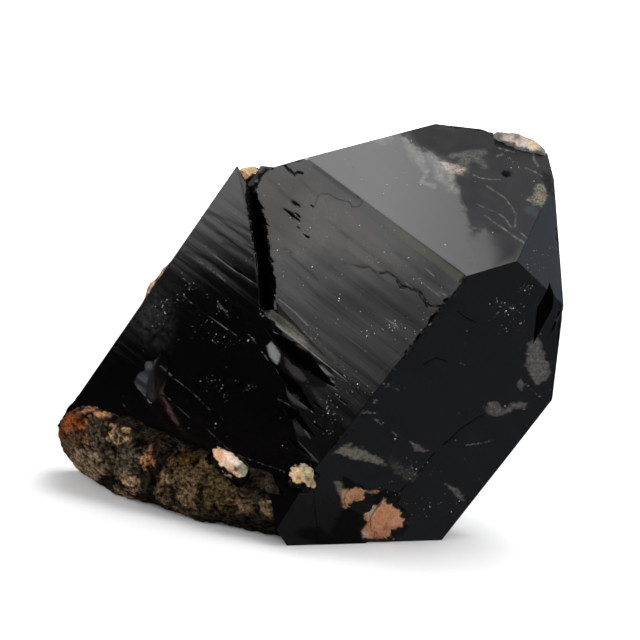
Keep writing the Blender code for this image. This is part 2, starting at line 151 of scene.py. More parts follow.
class Val:
    """A socket in a material, with arithmetic."""

    def __init__(self, tree, socket):
        self.tree, self.socket = tree, socket

    def node(self, kind, settings=None, inputs=None, out=0):
        """Adds a node of that kind and returns one of its outputs."""
        made = self.tree.nodes.new(kind)
        for key, value in (settings or {}).items():
            if key == "stops":
                ramp = made.color_ramp.elements
                while len(ramp) < len(value):
                    ramp.new(0.5)
                for stop, (place, colour) in zip(ramp, value):
                    stop.position, stop.color = place, colour
            else:
                setattr(made, key, value)
        for key, value in (inputs or {}).items():
            if isinstance(value, Val):
                self.tree.links.new(value.socket, made.inputs[key])
            else:
                made.inputs[key].default_value = value
        return Val(self.tree, made.outputs[out])

    def math(self, operation, other=0.0, third=0.0, clamp=False):
        settings = {"operation": operation, "use_clamp": clamp}
        return self.node("ShaderNodeMath", settings, {0: self, 1: other, 2: third})

    def __add__(self, other):
        return self.math("ADD", other)

    def __sub__(self, other):
        return self.math("SUBTRACT", other)

    def __mul__(self, other):
        return self.math("MULTIPLY", other)

    def __rsub__(self, other):
        return (self * -1.0) + other

    __radd__, __rmul__ = __add__, __mul__

    def between(self, low, high):
        """0 below low, 1 above high, smooth between."""
        settings = {"interpolation_type": "SMOOTHSTEP"}
        return self.node("ShaderNodeMapRange", settings, {0: self, 1: low, 2: high})

    def tint(self, first, second):
        """A colour that goes from first at 0 to second at 1."""
        return self.node("ShaderNodeMix", {"data_type": "RGBA"}, {0: self, 6: first, 7: second}, 2)

    def times(self, colour):
        """A colour multiplied by this colour."""
        inputs = {0: 1.0, 6: self, 7: colour}
        return self.node("ShaderNodeMix", {"data_type": "RGBA", "blend_type": "MULTIPLY"}, inputs, 2)

    def ruled(self, axes, stretch):
        """Coordinates along three axes, each drawn out by its stretch."""
        turn = Matrix(axes).transposed().to_euler()
        inputs = {0: self, 2: turn, 3: stretch}
        return self.node("ShaderNodeMapping", {"vector_type": "TEXTURE"}, inputs)

    def parts(self):
        """The x, y and z of a place."""
        return [self.node("ShaderNodeSeparateXYZ", {}, {0: self}, k) for k in range(3)]

    def noise(self, scale, detail=3.0, roughness=0.5):
        inputs = {"Vector": self, "Scale": scale, "Detail": detail, "Roughness": roughness}
        return self.node("ShaderNodeTexNoise", {}, inputs)

    def cells(self, scale):
        """Distance to the middle of the nearest cell."""
        return self.node("ShaderNodeTexVoronoi", {}, {"Vector": self, "Scale": scale})

    def cell_chances(self, scale):
        """Three chances from 0 to 1, the same all over a cell."""
        return channels(self.node("ShaderNodeTexVoronoi", {}, {"Vector": self, "Scale": scale}, 1))


def new_material(name):
    """A material, its main shader, its object coordinates and a reader for painted colours."""
    stuff = bpy.data.materials.new(name)
    stuff.use_nodes = True
    tree = stuff.node_tree
    shader = tree.nodes["Principled BSDF"]
    place = Val(tree, tree.nodes.new("ShaderNodeTexCoord").outputs["Object"])

    def paint(layer, out="Color"):
        reader = tree.nodes.new("ShaderNodeAttribute")
        reader.attribute_name = layer
        return Val(tree, reader.outputs[out])

    def feed(**inputs):
        for key, value in inputs.items():
            socket = shader.inputs[key.replace("_", " ")]
            if isinstance(value, Val):
                tree.links.new(value.socket, socket)
            else:
                socket.default_value = value

    return stuff, place, paint, feed


def channels(colour):
    """The three parts of a painted colour."""
    return [colour.node("ShaderNodeSeparateColor", {}, {0: colour}, k) for k in range(3)]


def bump(height, strength, distance):
    inputs = {"Height": height, "Strength": strength, "Distance": distance}
    return height.node("ShaderNodeBump", {}, inputs)


def grey(value):
    return (value, value, value, 1.0)


def quartz_material():
    """Almost black quartz: polished or dull as it is painted, with growth lines and dust."""
    stuff, place, paint, feed = new_material("morion_quartz_polished")
    gloss, rough, dusty = channels(paint("finish"))
    stripes, plain, _ = channels(paint("stripes"))
    lines = place.ruled((MAIN_LENGTH, ALONG, MAIN[0]), (1.0, 26.0, 26.0))
    broad = lines.noise(260, 5, 0.62)
    fine = lines.noise(1500, 3, 0.6)
    speckle = place.noise(2600, 2, 0.7)
    amount = dusty * 1.15 - 0.15
    chance, shine, _ = place.cell_chances(2000)
    dots = (chance + amount * 0.5).between(0.95, 0.99) * (0.29 - place.cells(2000)).between(0.0, 0.13)
    often, _, _ = place.cell_chances(4600)
    powder = (often + amount * 0.6).between(1.08, 1.14) * (0.34 - place.cells(4600)).between(0.0, 0.16)
    dust = dots.math("MAXIMUM", powder * 0.6)
    skin = paint("skin")
    paleness, _, _ = channels(skin)
    crumbs = place.noise(2300, 4, 0.8).between(0.36, 0.64) * 1.7 + 0.15
    crumbly = paleness.between(0.015, 0.06) * (plain * -0.8 + 0.8)
    shade = (speckle * 1.2 + 0.4) + crumbly * (crumbs - (speckle * 1.2 + 0.4))
    colour = skin.times(shade.tint(grey(0.0), grey(1.0)))
    colour = dust.tint(colour, (shine * shine).tint(grey(0.03), grey(0.22)))
    height = (broad * 0.55 + fine * 0.16) * stripes + place.noise(45, 2, 0.5) * 0.5
    feed(Base_Color=colour, Roughness=0.045, IOR=1.544, Normal=bump(height, 1.0, 0.00006))
    links, nodes = stuff.node_tree.links, stuff.node_tree.nodes
    dull, mixer = nodes.new("ShaderNodeBsdfPrincipled"), nodes.new("ShaderNodeMixShader")
    dull.inputs["Roughness"].default_value = 0.6
    dull.inputs["Specular IOR Level"].default_value = 0.12
    links.new(colour.socket, dull.inputs["Base Color"])
    grit = speckle * rough
    links.new(bump(grit, 0.6, 0.0001).socket, dull.inputs["Normal"])
    polish = gloss * ((broad.between(0.25, 0.75) * 0.3 - 0.3) * stripes + 1.0) - dust * 0.5
    links.new(polish.math("MAXIMUM", 0.0).socket, mixer.inputs[0])
    links.new(dull.outputs[0], mixer.inputs[1])
    links.new(nodes["Principled BSDF"].outputs[0], mixer.inputs[2])
    links.new(mixer.outputs[0], nodes["Material Output"].inputs[0])
    return stuff


def rock_material():
    """Grainy rock: each grain a little lighter or darker than its neighbours."""
    stuff, place, paint, feed = new_material("feldspar_rock_grain")
    grit = place.noise(1900, 5, 0.75)
    grain, _, _ = place.cell_chances(1300)
    small, _, _ = place.cell_chances(2700)
    bright = (grit.between(0.33, 0.66) * 0.95 + 0.17) * (small * 0.8 + 0.45)
    feed(
        Base_Color=paint("skin").times(bright.tint(grey(0.0), (1.0, 0.90, 0.80, 1.0))),
        Roughness=0.8,
        Specular_IOR_Level=0.02,
        Normal=bump(grit * 0.6 + grain * 0.4, 0.6, 0.00016),
    )
    return stuff


def feldspar_material():
    """Fine-grained feldspar in its painted colours."""
    stuff, place, paint, feed = new_material("feldspar_grain")
    grit = place.noise(1500, 4, 0.65)
    bright = grit.between(0.3, 0.7) * 0.5 + 0.7
    feed(
        Base_Color=paint("skin").times(bright.tint(grey(0.0), grey(1.0))),
        Roughness=0.7,
        Specular_IOR_Level=0.3,
        Normal=bump(grit, 0.8, 0.00025),
    )
    return stuff


def deselect_all():
    for thing in bpy.context.selected_objects:
        thing.select_set(False)


def select_only(piece):
    deselect_all()
    piece.select_set(True)
    bpy.context.view_layer.objects.active = piece


def merged_copy(node, name, cuts=0):
    """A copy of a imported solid, its loose triangles merged and cut finer."""
    piece = bpy.data.objects.new(name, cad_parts[node].data.copy())
    bpy.context.scene.collection.objects.link(piece)
    piece.data.materials.clear()
    select_only(piece)
    bpy.ops.object.mode_set(mode="EDIT")
    bpy.ops.mesh.select_all(action="SELECT")
    bpy.ops.mesh.remove_doubles(threshold=1e-6)
    if cuts:
        bpy.ops.mesh.subdivide(number_cuts=cuts)
    bpy.ops.object.mode_set(mode="OBJECT")
    return piece


def soften_edges(piece):
    """Bevels the long sharp edges of a faceted piece."""
    bm = bmesh.new()
    bm.from_mesh(piece.data)
    bmesh.ops.dissolve_limit(bm, angle_limit=math.radians(0.4), verts=bm.verts, edges=bm.edges)
    edges = [e for e in bm.edges if e.is_manifold and e.calc_length() > LONG_EDGE
             and e.calc_face_angle(0) > SHARP]
    bmesh.ops.bevel(bm, geom=edges, offset=EDGE_WIDTH, offset_type="OFFSET", segments=2, profile=0.6,
                    affect="EDGES", clamp_overlap=True)
    bm.to_mesh(piece.data)
    bm.free()


# Round this place the walls of the ledge below the seam are ruled as finely as the faces
LEDGE_MIDDLE = spot("front", 305, 342, -1.5)
LEDGE_REACH = 9.5 * MM


def rule(bm, faces, across, places):
    """Cuts those faces at each place along a direction, half of the places at a time."""
    if not places or not faces:
        return
    middle = places[len(places) // 2]
    geom = faces + list({e for f in faces for e in f.edges}) + list({v for f in faces for v in f.verts})
    made = bmesh.ops.bisect_plane(bm, geom=geom, plane_co=across * middle, plane_no=across, dist=1e-6)
    faces = [g for g in made["geom"] if isinstance(g, bmesh.types.BMFace)]
    sides = [f.calc_center_median().dot(across) < middle for f in faces]
    rule(bm, [f for f, low in zip(faces, sides) if low], across, [p for p in places if p < middle])
    rule(bm, [f for f, low in zip(faces, sides) if not low], across, [p for p in places if p > middle])


def rule_grid(piece, directions, spacing, facing):
    """Cuts the faces that look in one of the facing directions into a fine grid."""
    bm = bmesh.new()
    bm.from_mesh(piece.data)
    for across in directions:
        reach = [v.co.dot(across) for v in bm.verts]
        low, high = min(reach), max(reach)
        faces = [f for f in bm.faces if any(f.normal.dot(n) > SAME_FACING for n in facing)
                 or (f.calc_center_median() - LEDGE_MIDDLE).length < LEDGE_REACH]
        rule(bm, faces, across, [low + k * spacing for k in range(1, int((high - low) / spacing))])
    bm.to_mesh(piece.data)
    bm.free()


def rule_finer(piece, lines, facing):
    """Halves the grid along thin marks."""
    bm = bmesh.new()
    bm.from_mesh(piece.data)
    faces = [f for f in bm.faces if any(f.normal.dot(n) > SAME_FACING for n in facing)]
    middles = in_picture(np.array([f.calc_center_median() for f in faces]))
    near = np.min([to_line(middles, line) for line in lines], axis=0) < FINER_REACH
    edges = {e for f, close in zip(faces, near) if close for e in f.edges}
    bmesh.ops.subdivide_edges(bm, edges=list(edges), cuts=1, use_grid_fill=True)
    bm.to_mesh(piece.data)
    bm.free()


def fine_noise(points, grain, shift=0.0):
    """Noise from -1 to 1 at each point, in features of the given size."""
    offset = Vector((shift, shift * 0.7, -shift * 1.3))
    return np.array([noise.noise(Vector(p) / grain + offset) for p in points])


def in_picture(points):
    """Where in the picture each point is seen."""
    seen = (points - np.array(EYE)) @ np.array(CAMERA_AXES)
    reach = CAMERA_DISTANCE * PIXELS_PER_METRE
    return np.stack([PICTURE / 2 - reach * seen[:, 0] / seen[:, 2],
                     PICTURE / 2 + reach * seen[:, 1] / seen[:, 2]], axis=1)


def nearest(seen, line):
    """The place on a line of several stretches that is nearest to each point, and its distance."""
    best, found = np.full(len(seen), 1e9), np.zeros((len(seen), 2))
    for (ax, ay), (bx, by) in zip(line, line[1:]):
        run = np.array((bx - ax, by - ay))
        off = seen - np.array((ax, ay))
        part = np.clip(off @ run / max(run @ run, 1e-9), 0, 1)
        away = np.linalg.norm(off - part[:, None] * run, axis=1)
        closer = away < best
        best[closer] = away[closer]
        found[closer] = (part[:, None] * run + np.array((ax, ay)))[closer]
    return found, best


def to_line(seen, line):
    """Distance in the picture from each point to a line of several stretches."""
    return nearest(seen, line)[1]


def slide(points, shift):
    """Moves points by so much in the picture, level with the picture."""
    right, up = (np.array(CAMERA_AXES.col[k]) for k in (0, 1))
    return points + (np.outer(shift[:, 0], right) - np.outer(shift[:, 1], up)) / PIXELS_PER_METRE


def hold_inside(points, outlines):
    """Draws in what is seen outside the nearest of the outlines."""
    seen = in_picture(points)
    depths = [inside(seen, outline) for outline in outlines]
    choice = np.argmax(depths, axis=0)
    shift = np.zeros((len(points), 2))
    for k, outline in enumerate(outlines):
        outer = (choice == k) & (depths[k] < 0)
        found, _ = nearest(seen, list(outline) + [outline[0]])
        shift[outer] = (found - seen)[outer]
    return slide(points, shift)


def inside(seen, outline):
    """How far inside an outline each point is, in the picture; outside it is negative."""
    closed = list(outline) + [outline[0]]
    within = np.zeros(len(seen), bool)
    x, y = seen[:, 0], seen[:, 1]
    for (ax, ay), (bx, by) in zip(closed, closed[1:]):
        if ay != by:
            within ^= ((ay > y) != (by > y)) & (x < (bx - ax) * (y - ay) / (by - ay) + ax)
    away = to_line(seen, closed)
    return np.where(within, away, -away)


def step(value, low, high):
    """0 below low, 1 above high, smooth between."""
    part = np.clip((value - low) / (high - low), 0, 1)
    return part * part * (3 - 2 * part)


def on_line(seen, line, low, high, ragged=0.0):
    """1 along a line in the picture, fading out beside it; ragged makes its edge uneven."""
    return step(ragged - to_line(seen, line), low, high)


def in_area(seen, outline, low, high, ragged=0.0):
    """1 inside an outline in the picture, fading out across it; ragged makes its edge uneven."""
    return step(inside(seen, outline) + ragged, low, high)


def above(points, point, outward):
    """How far outside the plane through that point each point lies."""
    return (points - np.array(point)) @ np.array(outward)


def blend(colours, mask, colour):
    """Paints colour over colours where mask is 1."""
    return colours + (np.array(colour) - colours) * np.clip(mask, 0, 1)[:, None]


def set_paint(piece, name, colours):
    layer = piece.data.color_attributes.new(name, "FLOAT_COLOR", "POINT")
    full = np.ones((len(piece.data.vertices), 4), np.float32)
    full[:, :3] = colours
    layer.data.foreach_set("color", full.ravel())


def points_of(piece):
    points = np.zeros(len(piece.data.vertices) * 3, np.float32)
    piece.data.vertices.foreach_get("co", points)
    return points.reshape(-1, 3).astype(float)


def normals_of(piece):
    normals = np.zeros(len(piece.data.vertices) * 3, np.float32)
    piece.data.vertices.foreach_get("normal", normals)
    return normals.reshape(-1, 3).astype(float)


def move_to(piece, points):
    """Puts the vertices there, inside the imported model's box."""
    low, high = (np.array(corner) for corner in CAD_BOX)
    piece.data.vertices.foreach_set("co", np.clip(points, low, high).astype(np.float32).ravel())
    piece.data.update()


# Marks on the big tip face, in the picture: the dull place and what lies in and around it
DULL_PLACE = (
    (392, 128), (405, 136), (411, 146), (421, 151), (434, 155), (447, 164), (455, 172), (454, 182),
    (459, 195), (465, 212), (468, 222), (473, 236), (479, 232), (486, 230), (491, 243), (496, 254),
    (493, 268), (517, 262), (560, 200), (560, 120), (437, 112),
)
PALE_FEATHERS = (
    ((408, 138), (413, 150), (418, 160), 5.0), ((417, 148), (422, 162), (425, 170), 3.5),
    ((430, 156), (436, 164), (440, 174), 4.5), ((441, 164), (452, 170), (462, 168), 6.0),
    ((450, 174), (452, 184), (456, 190), 4.0), ((428, 172), (421, 182), (434, 186), 2.0),
    ((376, 136), (384, 140), (388, 138), 4.0), ((438, 176), (446, 180), (450, 188), 4.0),
    ((452, 156), (468, 154), (484, 152), 2.5), ((462, 160), (476, 158), (484, 166), 3.0),
)
PINK_PATCH = ((441, 162), (452, 164), (466, 168), (462, 174), (450, 173), (442, 168))
VEIN_LINES = (
    ((474, 175), (480, 178), (490, 179.5), (500, 179.5), 1.1), ((487, 186), (496, 192), (505, 198), (512, 207),
     0.9),
    ((512, 207), (516, 216), (515, 226), 1.0), ((477, 204), (487, 209), (495, 212), 0.8),
    ((495, 212), (504, 217), (511, 227), 1.0), ((484, 215), (504, 229), (524, 243), 1.1),
    ((514, 227), (521, 233), (527, 238), 0.8), ((464, 204), (466, 208), 0.8), ((472, 228), (483, 229), 0.8),
    ((499, 148), (506, 150), (514, 152), 1.3), ((526, 168), (535, 172), (545, 178), 1.0),
    ((533, 152), (534, 160), (538, 166), 1.6), ((497, 156), (503, 154), 1.8),
)
CREST_LINE = ((437, 127), (460, 128), (480, 131), (494, 134), (497, 142), (505, 144), (530, 152), (546, 156))
BLUE_PATCH = ((526, 208), (533, 206), (540, 212), (536, 217), (527, 214))
RIM_CHIPS = (
    (543, 171), (549, 173), (552, 185), (555, 200), (557, 224), (552, 222), (549.5, 208), (548, 198),
    (546, 188), (542, 179),
)
# Outer edges that are a little broken away
BROKEN_EDGES = (
    ((437, 124), (470, 129), (497, 134)), ((546, 153), (549, 180), (553, 205), (558, 240), (562, 300)),
    ((559, 312), (556, 360), (552, 400)),
)
CRUST_PATCH = ((537, 186), (543, 183), (547, 190), (549.5, 203), (544, 207), (537, 205), (526, 200), (531, 195))
RUST_SPOT = (542, 196)
PIT = (506.5, 174.0)
# Marks on the main front face
LOOP_LINE = (
    (315, 206), (316.5, 199), (321, 193.5), (329, 194), (337, 199), (349, 202), (352.5, 207),
    (359, 206.5), (362.5, 202.5), (357, 195.5),
)
PALE_CORNER = ((466, 216), (480, 214), (498, 236), (502, 252), (494, 266), (476, 268))
WHITE_CHIP = ((300, 158), (304, 155), (308, 158), (307, 163), (303, 160))
SEAM_SIDES = (
    (247, 187), (247.3, 198), (251.4, 227), (254, 242), (256.5, 254), (259, 275), (260, 303), (262, 314),
    (270, 312), (273.9, 303), (274.9, 288), (272.9, 272), (268.8, 252), (266.2, 234), (264.7, 221),
    (259.6, 205), (256, 193), (256, 184),
)
NOTCH_CRYSTAL = ((244, 180), (249, 172), (258, 167), (273, 164), (270, 170), (262, 176), (257, 187), (250, 188))
NOTCH_GAP = ((266, 169), (260, 176), (256.5, 185))
DARK_WEDGE = (
    (296, 342), (318, 357), (330, 367), (335, 379), (322, 388), (308, 385), (318, 400), (330, 430), (328, 452),
    (318, 464), (300, 452), (285, 425), (274, 395), (266, 350), (266, 325), (274, 330),
)
# Small facets below the seam: outline, colour painted for the light each facet mirrors, and how polished
FACET_SHEENS = (
    (((315, 364.5), (322, 366), (334, 377), (326, 374.5)), (0.075, 0.078, 0.072), 0.2),
    (((283.7, 356.6), (290, 360), (300, 370), (307, 379), (303, 382), (294, 377), (286, 367)),
     (0.017, 0.014, 0.016), 0.2),
    (((293, 357), (300, 359), (308, 366), (303, 366)), (0.016, 0.012, 0.013), 0.2),
    (((267, 346), (271, 341.7), (275, 346), (279.7, 354), (279, 361), (277, 364.6), (270, 357)),
     (0.13, 0.132, 0.13), 0.3),
    (((283.7, 384), (290, 383), (300, 392), (311, 408), (305, 409), (294, 404), (286, 394)),
     (0.022, 0.022, 0.023), 0.2),
    (((288, 414), (296, 418), (308, 435), (300, 436), (291, 428)), (0.016, 0.016, 0.017), 0.2),
    (((289.4, 439), (292, 436.5), (296.8, 443), (295, 448)), (0.13, 0.135, 0.16), 0.3),
    (((304, 450), (312, 454), (318, 462), (311, 459)), (0.035, 0.033, 0.035), 0.2),
)
# Painted highlights on the ledge below the seam: a pale band where its wall catches the overhead light, brightest
# round the glint, and a grey lip that stands for the light its facet mirrors
LEDGE_HIGHLIGHT_BAND = (
    (264, 304), (270, 307), (279, 314.5), (290, 323), (305, 336.5), (320, 349), (335, 361), (346, 374),
    (338, 372),
    (318, 359), (300, 347), (284, 332), (270, 318),
)
LEDGE_GLINT = (294, 333)
LEDGE_LIP_SHEEN = (
    (278.5, 300.5), (283, 303), (295, 314.5), (308, 327.5), (320, 340), (334, 356), (344, 371), (335, 361),
    (320, 349),
    (305, 336.5), (290, 323), (279, 314.5), (277, 307),
)
# The facet that begins here reaches over the seam onto the left crystal
SEAM_FACET = (267, 346)
# Painted highlights: pale lines along the facets' edges, where the steps catch the light
FACET_EDGE_HIGHLIGHTS = (
    ((274.5, 332.5), (284, 340), (293, 347), (307, 361), (324, 379), (334, 382), 0.9), ((278, 378), (284, 380),
     (290, 384), 1.2),
    ((289, 380.5), (300, 392.5), (312.4, 412), 0.7), ((277.4, 395.6), (284.3, 402.5), 1.1), ((295, 417),
     (303, 427), (310, 438), 0.7),
    ((293, 437.5), (305, 449), (318, 462), 0.8), ((279, 299.5), (295, 312.5), (308, 325.5), 0.6), ((281, 382),
     (290, 381), 0.8),
)
# Where the front face has slots
FRONT_SLOTTED = ((276, 180), (306, 162), (400, 235), (380, 300), (330, 300), (290, 290), (278, 250))
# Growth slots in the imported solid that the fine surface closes
CLOSED_SLOTS = (
    ((345, 226), (350, 237)), ((360, 293), (377, 308)), ((284, 163), (300, 176)), ((302, 297), (312, 305),
     (324, 315)),
    ((284, 248), (292, 254)),
)
EDGE_SHADE = ((314, 166), (334, 181), (357, 198))
OLIVE_BAND = ((360, 199), (392, 222), (466, 276), (460, 284), (450, 276), (425, 257), (398, 238), (372, 216))
# Where the front face mirrors a little less: place, half width, half height, how much
FRONT_CLOUDS = (
    (280, 215, 32, 55, 0.32), (372, 300, 55, 32, 0.42), (412, 318, 34, 30, 0.32), (328, 262, 34, 24, 0.25),
    (442, 272, 30, 20, 0.24), (334, 415, 22, 32, 0.68), (320, 442, 20, 18, 0.98), (302, 182, 24, 16, 0.2),
    (330, 302, 28, 22, 0.22), (330, 192, 22, 12, 0.1),
)
BROWN_HAZE = ((258, 175), (300, 165), (330, 190), (360, 215), (400, 262), (385, 275), (330, 260), (268, 262))
HOOKED_CRACKS = (
    ((283, 163.5), (289, 170), (295, 175), (297.5, 172), (303, 173.5)), ((298, 161), (301, 160), (300, 157.5)),
    ((272, 169), (275, 165.5)),
)
DARK_SLOTS = (
    ((284, 209), (291, 213), (299.5, 221), 1.3), ((296, 213.5), (300, 217), 1.3), ((297.5, 227), (300, 229),
     1.0),
    ((303.5, 234), (306, 236.5), (310, 237.5), 0.7), ((292, 202), (296, 205.5), 1.0), ((311, 205), (314, 208),
     0.5),
)
SOFT_STREAKS = (
    ((285, 248.5), (292, 253), 1.6), ((290.5, 256), (304, 267), (318, 280), 1.4), ((321, 246), (329, 253), 1.4),
    ((290.5, 256), (304, 267), (318, 280), 0.9), ((284, 248), (292, 253), 0.9), ((287, 198), (292, 201),
     (300, 205), 2.2),
    ((340, 230), (366, 250), (392, 268), 2.0), ((268, 178), (284, 194), (300, 204), 1.8), ((330, 222),
     (348, 238), 1.6),
    ((376, 262), (400, 280), (420, 292), 2.0), ((285, 262), (304, 280), (322, 300), 1.6), ((300, 180),
     (318, 196), 1.5),
    ((395, 252), (425, 276), (450, 292), 2.0), ((345, 250), (362, 262), (384, 280), 1.6),
)
WAVY_CRACK = (
    (345, 264.5), (354, 266), (360, 268), (365, 269), (369, 267.5), (375, 273), (381, 274.5), (387, 273),
    (394, 277), (398, 281.5), (401.5, 287.5), (410.5, 289), (420, 294), (424.5, 300), (429, 307), (441, 307.5),
    (448, 304), (460, 298),
)
PALE_SCRATCHES = (
    ((418, 279), (428, 287), (440, 296), 0.9), ((345, 211), (352, 217), 0.7), ((425, 268), (434, 276), 0.9),
    ((405, 282), (412, 288), 0.8), ((440, 292), (449, 297), 0.9), ((385, 318), (398, 327), 0.7),
)
# Marks on the right-hand front face
MICA_SPOTS = (
    ((529, 342), (537, 338), (541, 344), (545, 356), (550, 372), (546, 380), (536, 384), (531, 376),
     (526, 366), (527, 352)),
    ((486, 412), (489, 403), (494, 401), (500, 404), (502, 411), (508, 406), (514, 403), (520, 402), (527, 403),
     (524, 408), (514, 409), (505, 414), (494, 416)),
    ((334, 452), (342, 447), (350, 444), (348, 449), (356, 448), (364, 450), (372, 455), (380, 458), (386, 464),
     (378, 464), (368, 460), (356, 460), (346, 455)),
    ((410, 442), (416, 444), (420, 447), (428, 451), (424, 452), (416, 450)),
    ((433, 484), (438, 485), (444, 491), (441, 492), (435, 488)),
    ((455, 509), (461, 510), (465, 517), (460, 520), (454, 515)),
    ((335, 478), (340, 482), (344, 490), (342, 500), (338, 492)),
    ((517, 384), (521, 380), (524, 386), (520, 390)),
    ((446, 483), (452, 487), (460, 492), (464, 500), (462, 508), (458, 500), (453, 492)),
    ((412, 518), (418, 515), (421, 520), (419, 527), (413, 528)),
    ((430, 527), (437, 526), (438, 530), (431, 530)),
)
MICA_HALO = ((390, 455), (400, 465), (414, 470), (425, 478), (415, 482), (400, 476), (390, 468))
RIGHT_CRACKS = (
    ((484, 414), (472, 421), (460, 429), (449, 440), (443, 445)), ((434, 453), (420, 471), (410, 481),
     (400, 491)),
    ((475, 322), (466, 318), (458, 312)), ((446, 361), (436, 358), (424, 364)), ((560, 312), (557, 360),
     (552, 398)),
)
RIGHT_SCRATCHES = (
    ((466, 445), (480, 443.5), (494, 440), 0.8),
    ((460, 363), (464, 365), (467, 363), 0.7), ((540, 397), (532, 390), (525, 383), 1.0), ((498, 312),
     (494, 318), 1.2),
    ((510, 308), (514, 306), 1.5), ((386, 386), (390, 384), (398, 390), 1.2), ((375, 378), (384, 384), 1.0),
    ((363, 413), (369, 413), (376, 413), 1.4), ((376, 420), (382, 424), 1.6), ((392, 432), (398, 436), 1.2),
)
# Black broken places low on the right-hand front face, and the brownish fringe between them
RIGHT_DARK = (
    ((330, 535), (335, 520), (345, 508), (357, 503), (366, 503), (370, 506), (365, 514), (364, 522), (360, 530),
     (362, 538), (366, 545), (318, 545), (298, 537), (296, 530), (312, 527), (324, 528)),
    ((366, 500), (378, 492), (386, 490), (398, 493), (410, 512), (405, 516), (395, 507), (388, 505), (384, 499),
     (381, 506), (370, 506)),
    ((416, 517), (432, 514), (438, 520), (436, 528), (441, 536), (436, 543), (420, 543), (413, 537), (396, 540),
     (395, 532), (404, 530), (410, 526), (413, 520)),
    ((342, 476), (350, 478), (356, 486), (372, 489), (356, 490), (346, 489), (343, 484)),
)
OLIVE_FRINGE = (
    (402, 512), (412, 516), (424, 528), (438, 526), (434, 534), (420, 530), (408, 540), (400, 536), (408, 524),
)
# The ridge between the two front faces
CHIPPED_EDGE = ((466, 277), (440, 312), (410, 352), (380, 392), (350, 432), (334, 455))
# Dusty clusters: face, place in the picture, half width, half height, amount
DUST_CLUSTERS = (
    ("front", 372, 260, 8, 5, 1.0), ("front", 386, 254, 4, 3, 0.8), ("front", 403, 265, 6, 4, 0.9),
    ("front", 390, 326, 12, 8, 0.9), ("front", 366, 333, 9, 8, 0.9), ("front", 418, 280, 5, 3, 0.8),
    ("front", 339, 300, 5, 3, 0.6), ("front", 420, 325, 14, 16, 0.4), ("front", 330, 410, 10, 30, 0.5),
    ("front", 345, 385, 12, 20, 0.6), ("front", 302, 240, 14, 30, 0.35), ("front", 310, 335, 14, 8, 0.6),
    ("left", 188, 289, 13, 6, 0.7), ("left", 222, 311, 9, 9, 0.55), ("left", 208, 296, 3, 3, 0.6),
    ("left", 235, 341, 26, 6, 0.4), ("left", 215, 383, 17, 8, 0.55), ("left", 248, 387, 11, 6, 0.5),
    ("left", 158, 315, 12, 15, 0.6), ("left", 200, 262, 26, 4, 0.4), ("left", 205, 325, 30, 24, 0.15),
    ("left", 264, 312, 3, 22, 0.7), ("left", 222, 405, 14, 18, 0.25), ("left", 175, 300, 10, 12, 0.6),
    ("right", 370, 413, 7, 2, 0.9), ("right", 393, 386, 10, 5, 0.8), ("right", 505, 309, 11, 7, 1.0),
    ("right", 528, 288, 10, 5, 0.9), ("right", 498, 303, 5, 6, 0.8), ("right", 410, 468, 20, 10, 0.6),
    ("right", 430, 505, 22, 14, 0.5), ("right", 520, 320, 26, 20, 0.3), ("right", 395, 500, 18, 10, 0.6),
    ("tip", 424, 184, 8, 3, 0.4), ("tip", 472, 273, 6, 2, 0.9), ("tip", 512, 165, 18, 10, 0.3),
)
# The faces in the picture
FACE_OUTLINES = {
    "front": (
        (268, 178), (306, 160), (464, 276), (330, 455), (318, 440), (300, 400), (284, 340), (272, 300), (262, 240),
    ),
    "left": (
        (236, 172), (246, 200), (255, 255), (262, 310), (275, 380), (300, 455), (250, 455), (160, 420), (104, 392),
        (190, 250),
    ),
    "right": (
        (470, 282), (518, 268), (536, 290), (552, 345), (552, 400), (440, 535), (405, 535), (400, 500), (345, 480),
        (335, 465),
    ),
    "tip": ((310, 158), (436, 130), (543, 155), (549, 205), (518, 260), (468, 272)),
    "side_tip": ((548, 215), (556, 250), (557, 300), (548, 298), (522, 266)),
}
# Marks on the left crystal's face
CURVED_CHIP = (
    (146, 362), (152, 361), (154, 372), (154, 400), (149, 399), (141, 391), (134, 382), (138, 374), (144, 371),
)
# A painted glint at the top of the curved chip
CHIP_TOP_GLINT = ((146, 359), (154, 359), (154, 371), (146, 367))
LEFT_BANDS = (
    ((208, 212), (230, 221), (252, 232), 3.5), ((222, 224), (238, 232), (253, 240), 1.6), ((216, 232),
     (236, 241), (255, 251), 1.4),
    ((224, 243), (240, 250), (256, 261), 4.5), ((186, 251), (205, 257), (225, 265), 3.5),
)
BROWN_STREAKS = (
    ((154, 390), (162, 402), (170, 414), (180, 428), (192, 440), 4.5), ((144, 398), (156, 412), (170, 430),
     2.5),
    ((186, 437), (206, 444), (232, 452), 4.0), ((150, 372), (158, 380), (160, 392), 3.0),
)
PALE_STREAKS = (
    ((161, 391), (166, 402), (172, 414), (178, 424), 2.4), ((166, 409), (173, 419), (183, 433), 1.6),
    ((174, 437), (181, 444), 1.4),
)
# Where the left crystal's face is broken out round the curved chip
CHIP_ZONE = ((130, 352), (164, 352), (174, 376), (168, 404), (140, 406), (128, 380))
# A broken place at the right that the fine surface closes
CLOSED_NOTCH = ((543, 348), (550, 322), (557, 308), (569, 308), (569, 350))
BROWN_DUST = ((140, 300), (158, 290), (172, 304), (174, 330), (168, 350), (150, 345), (136, 325))
LEFT_SCRATCHES = (
    ((155, 361), (163, 368), (171, 375.5), 1.5), ((175, 379), (192, 392), (210, 410), 0.6), ((167, 397),
     (180, 409), (191, 419), 0.5),
    ((207, 429), (219, 441), (231, 451), 0.9), ((224, 446), (236, 457), (244, 462), 0.8), ((208, 267),
     (217, 274), (226, 281), 1.4),
    ((196, 259), (203, 264), 1.0), ((183, 278), (190, 284), 1.2), ((218, 303), (225, 311), (229, 318), 1.2),
    ((123, 404), (128, 411), 0.8), ((248, 334), (256, 343), 0.5), ((262, 352), (268, 360), 0.9),
)


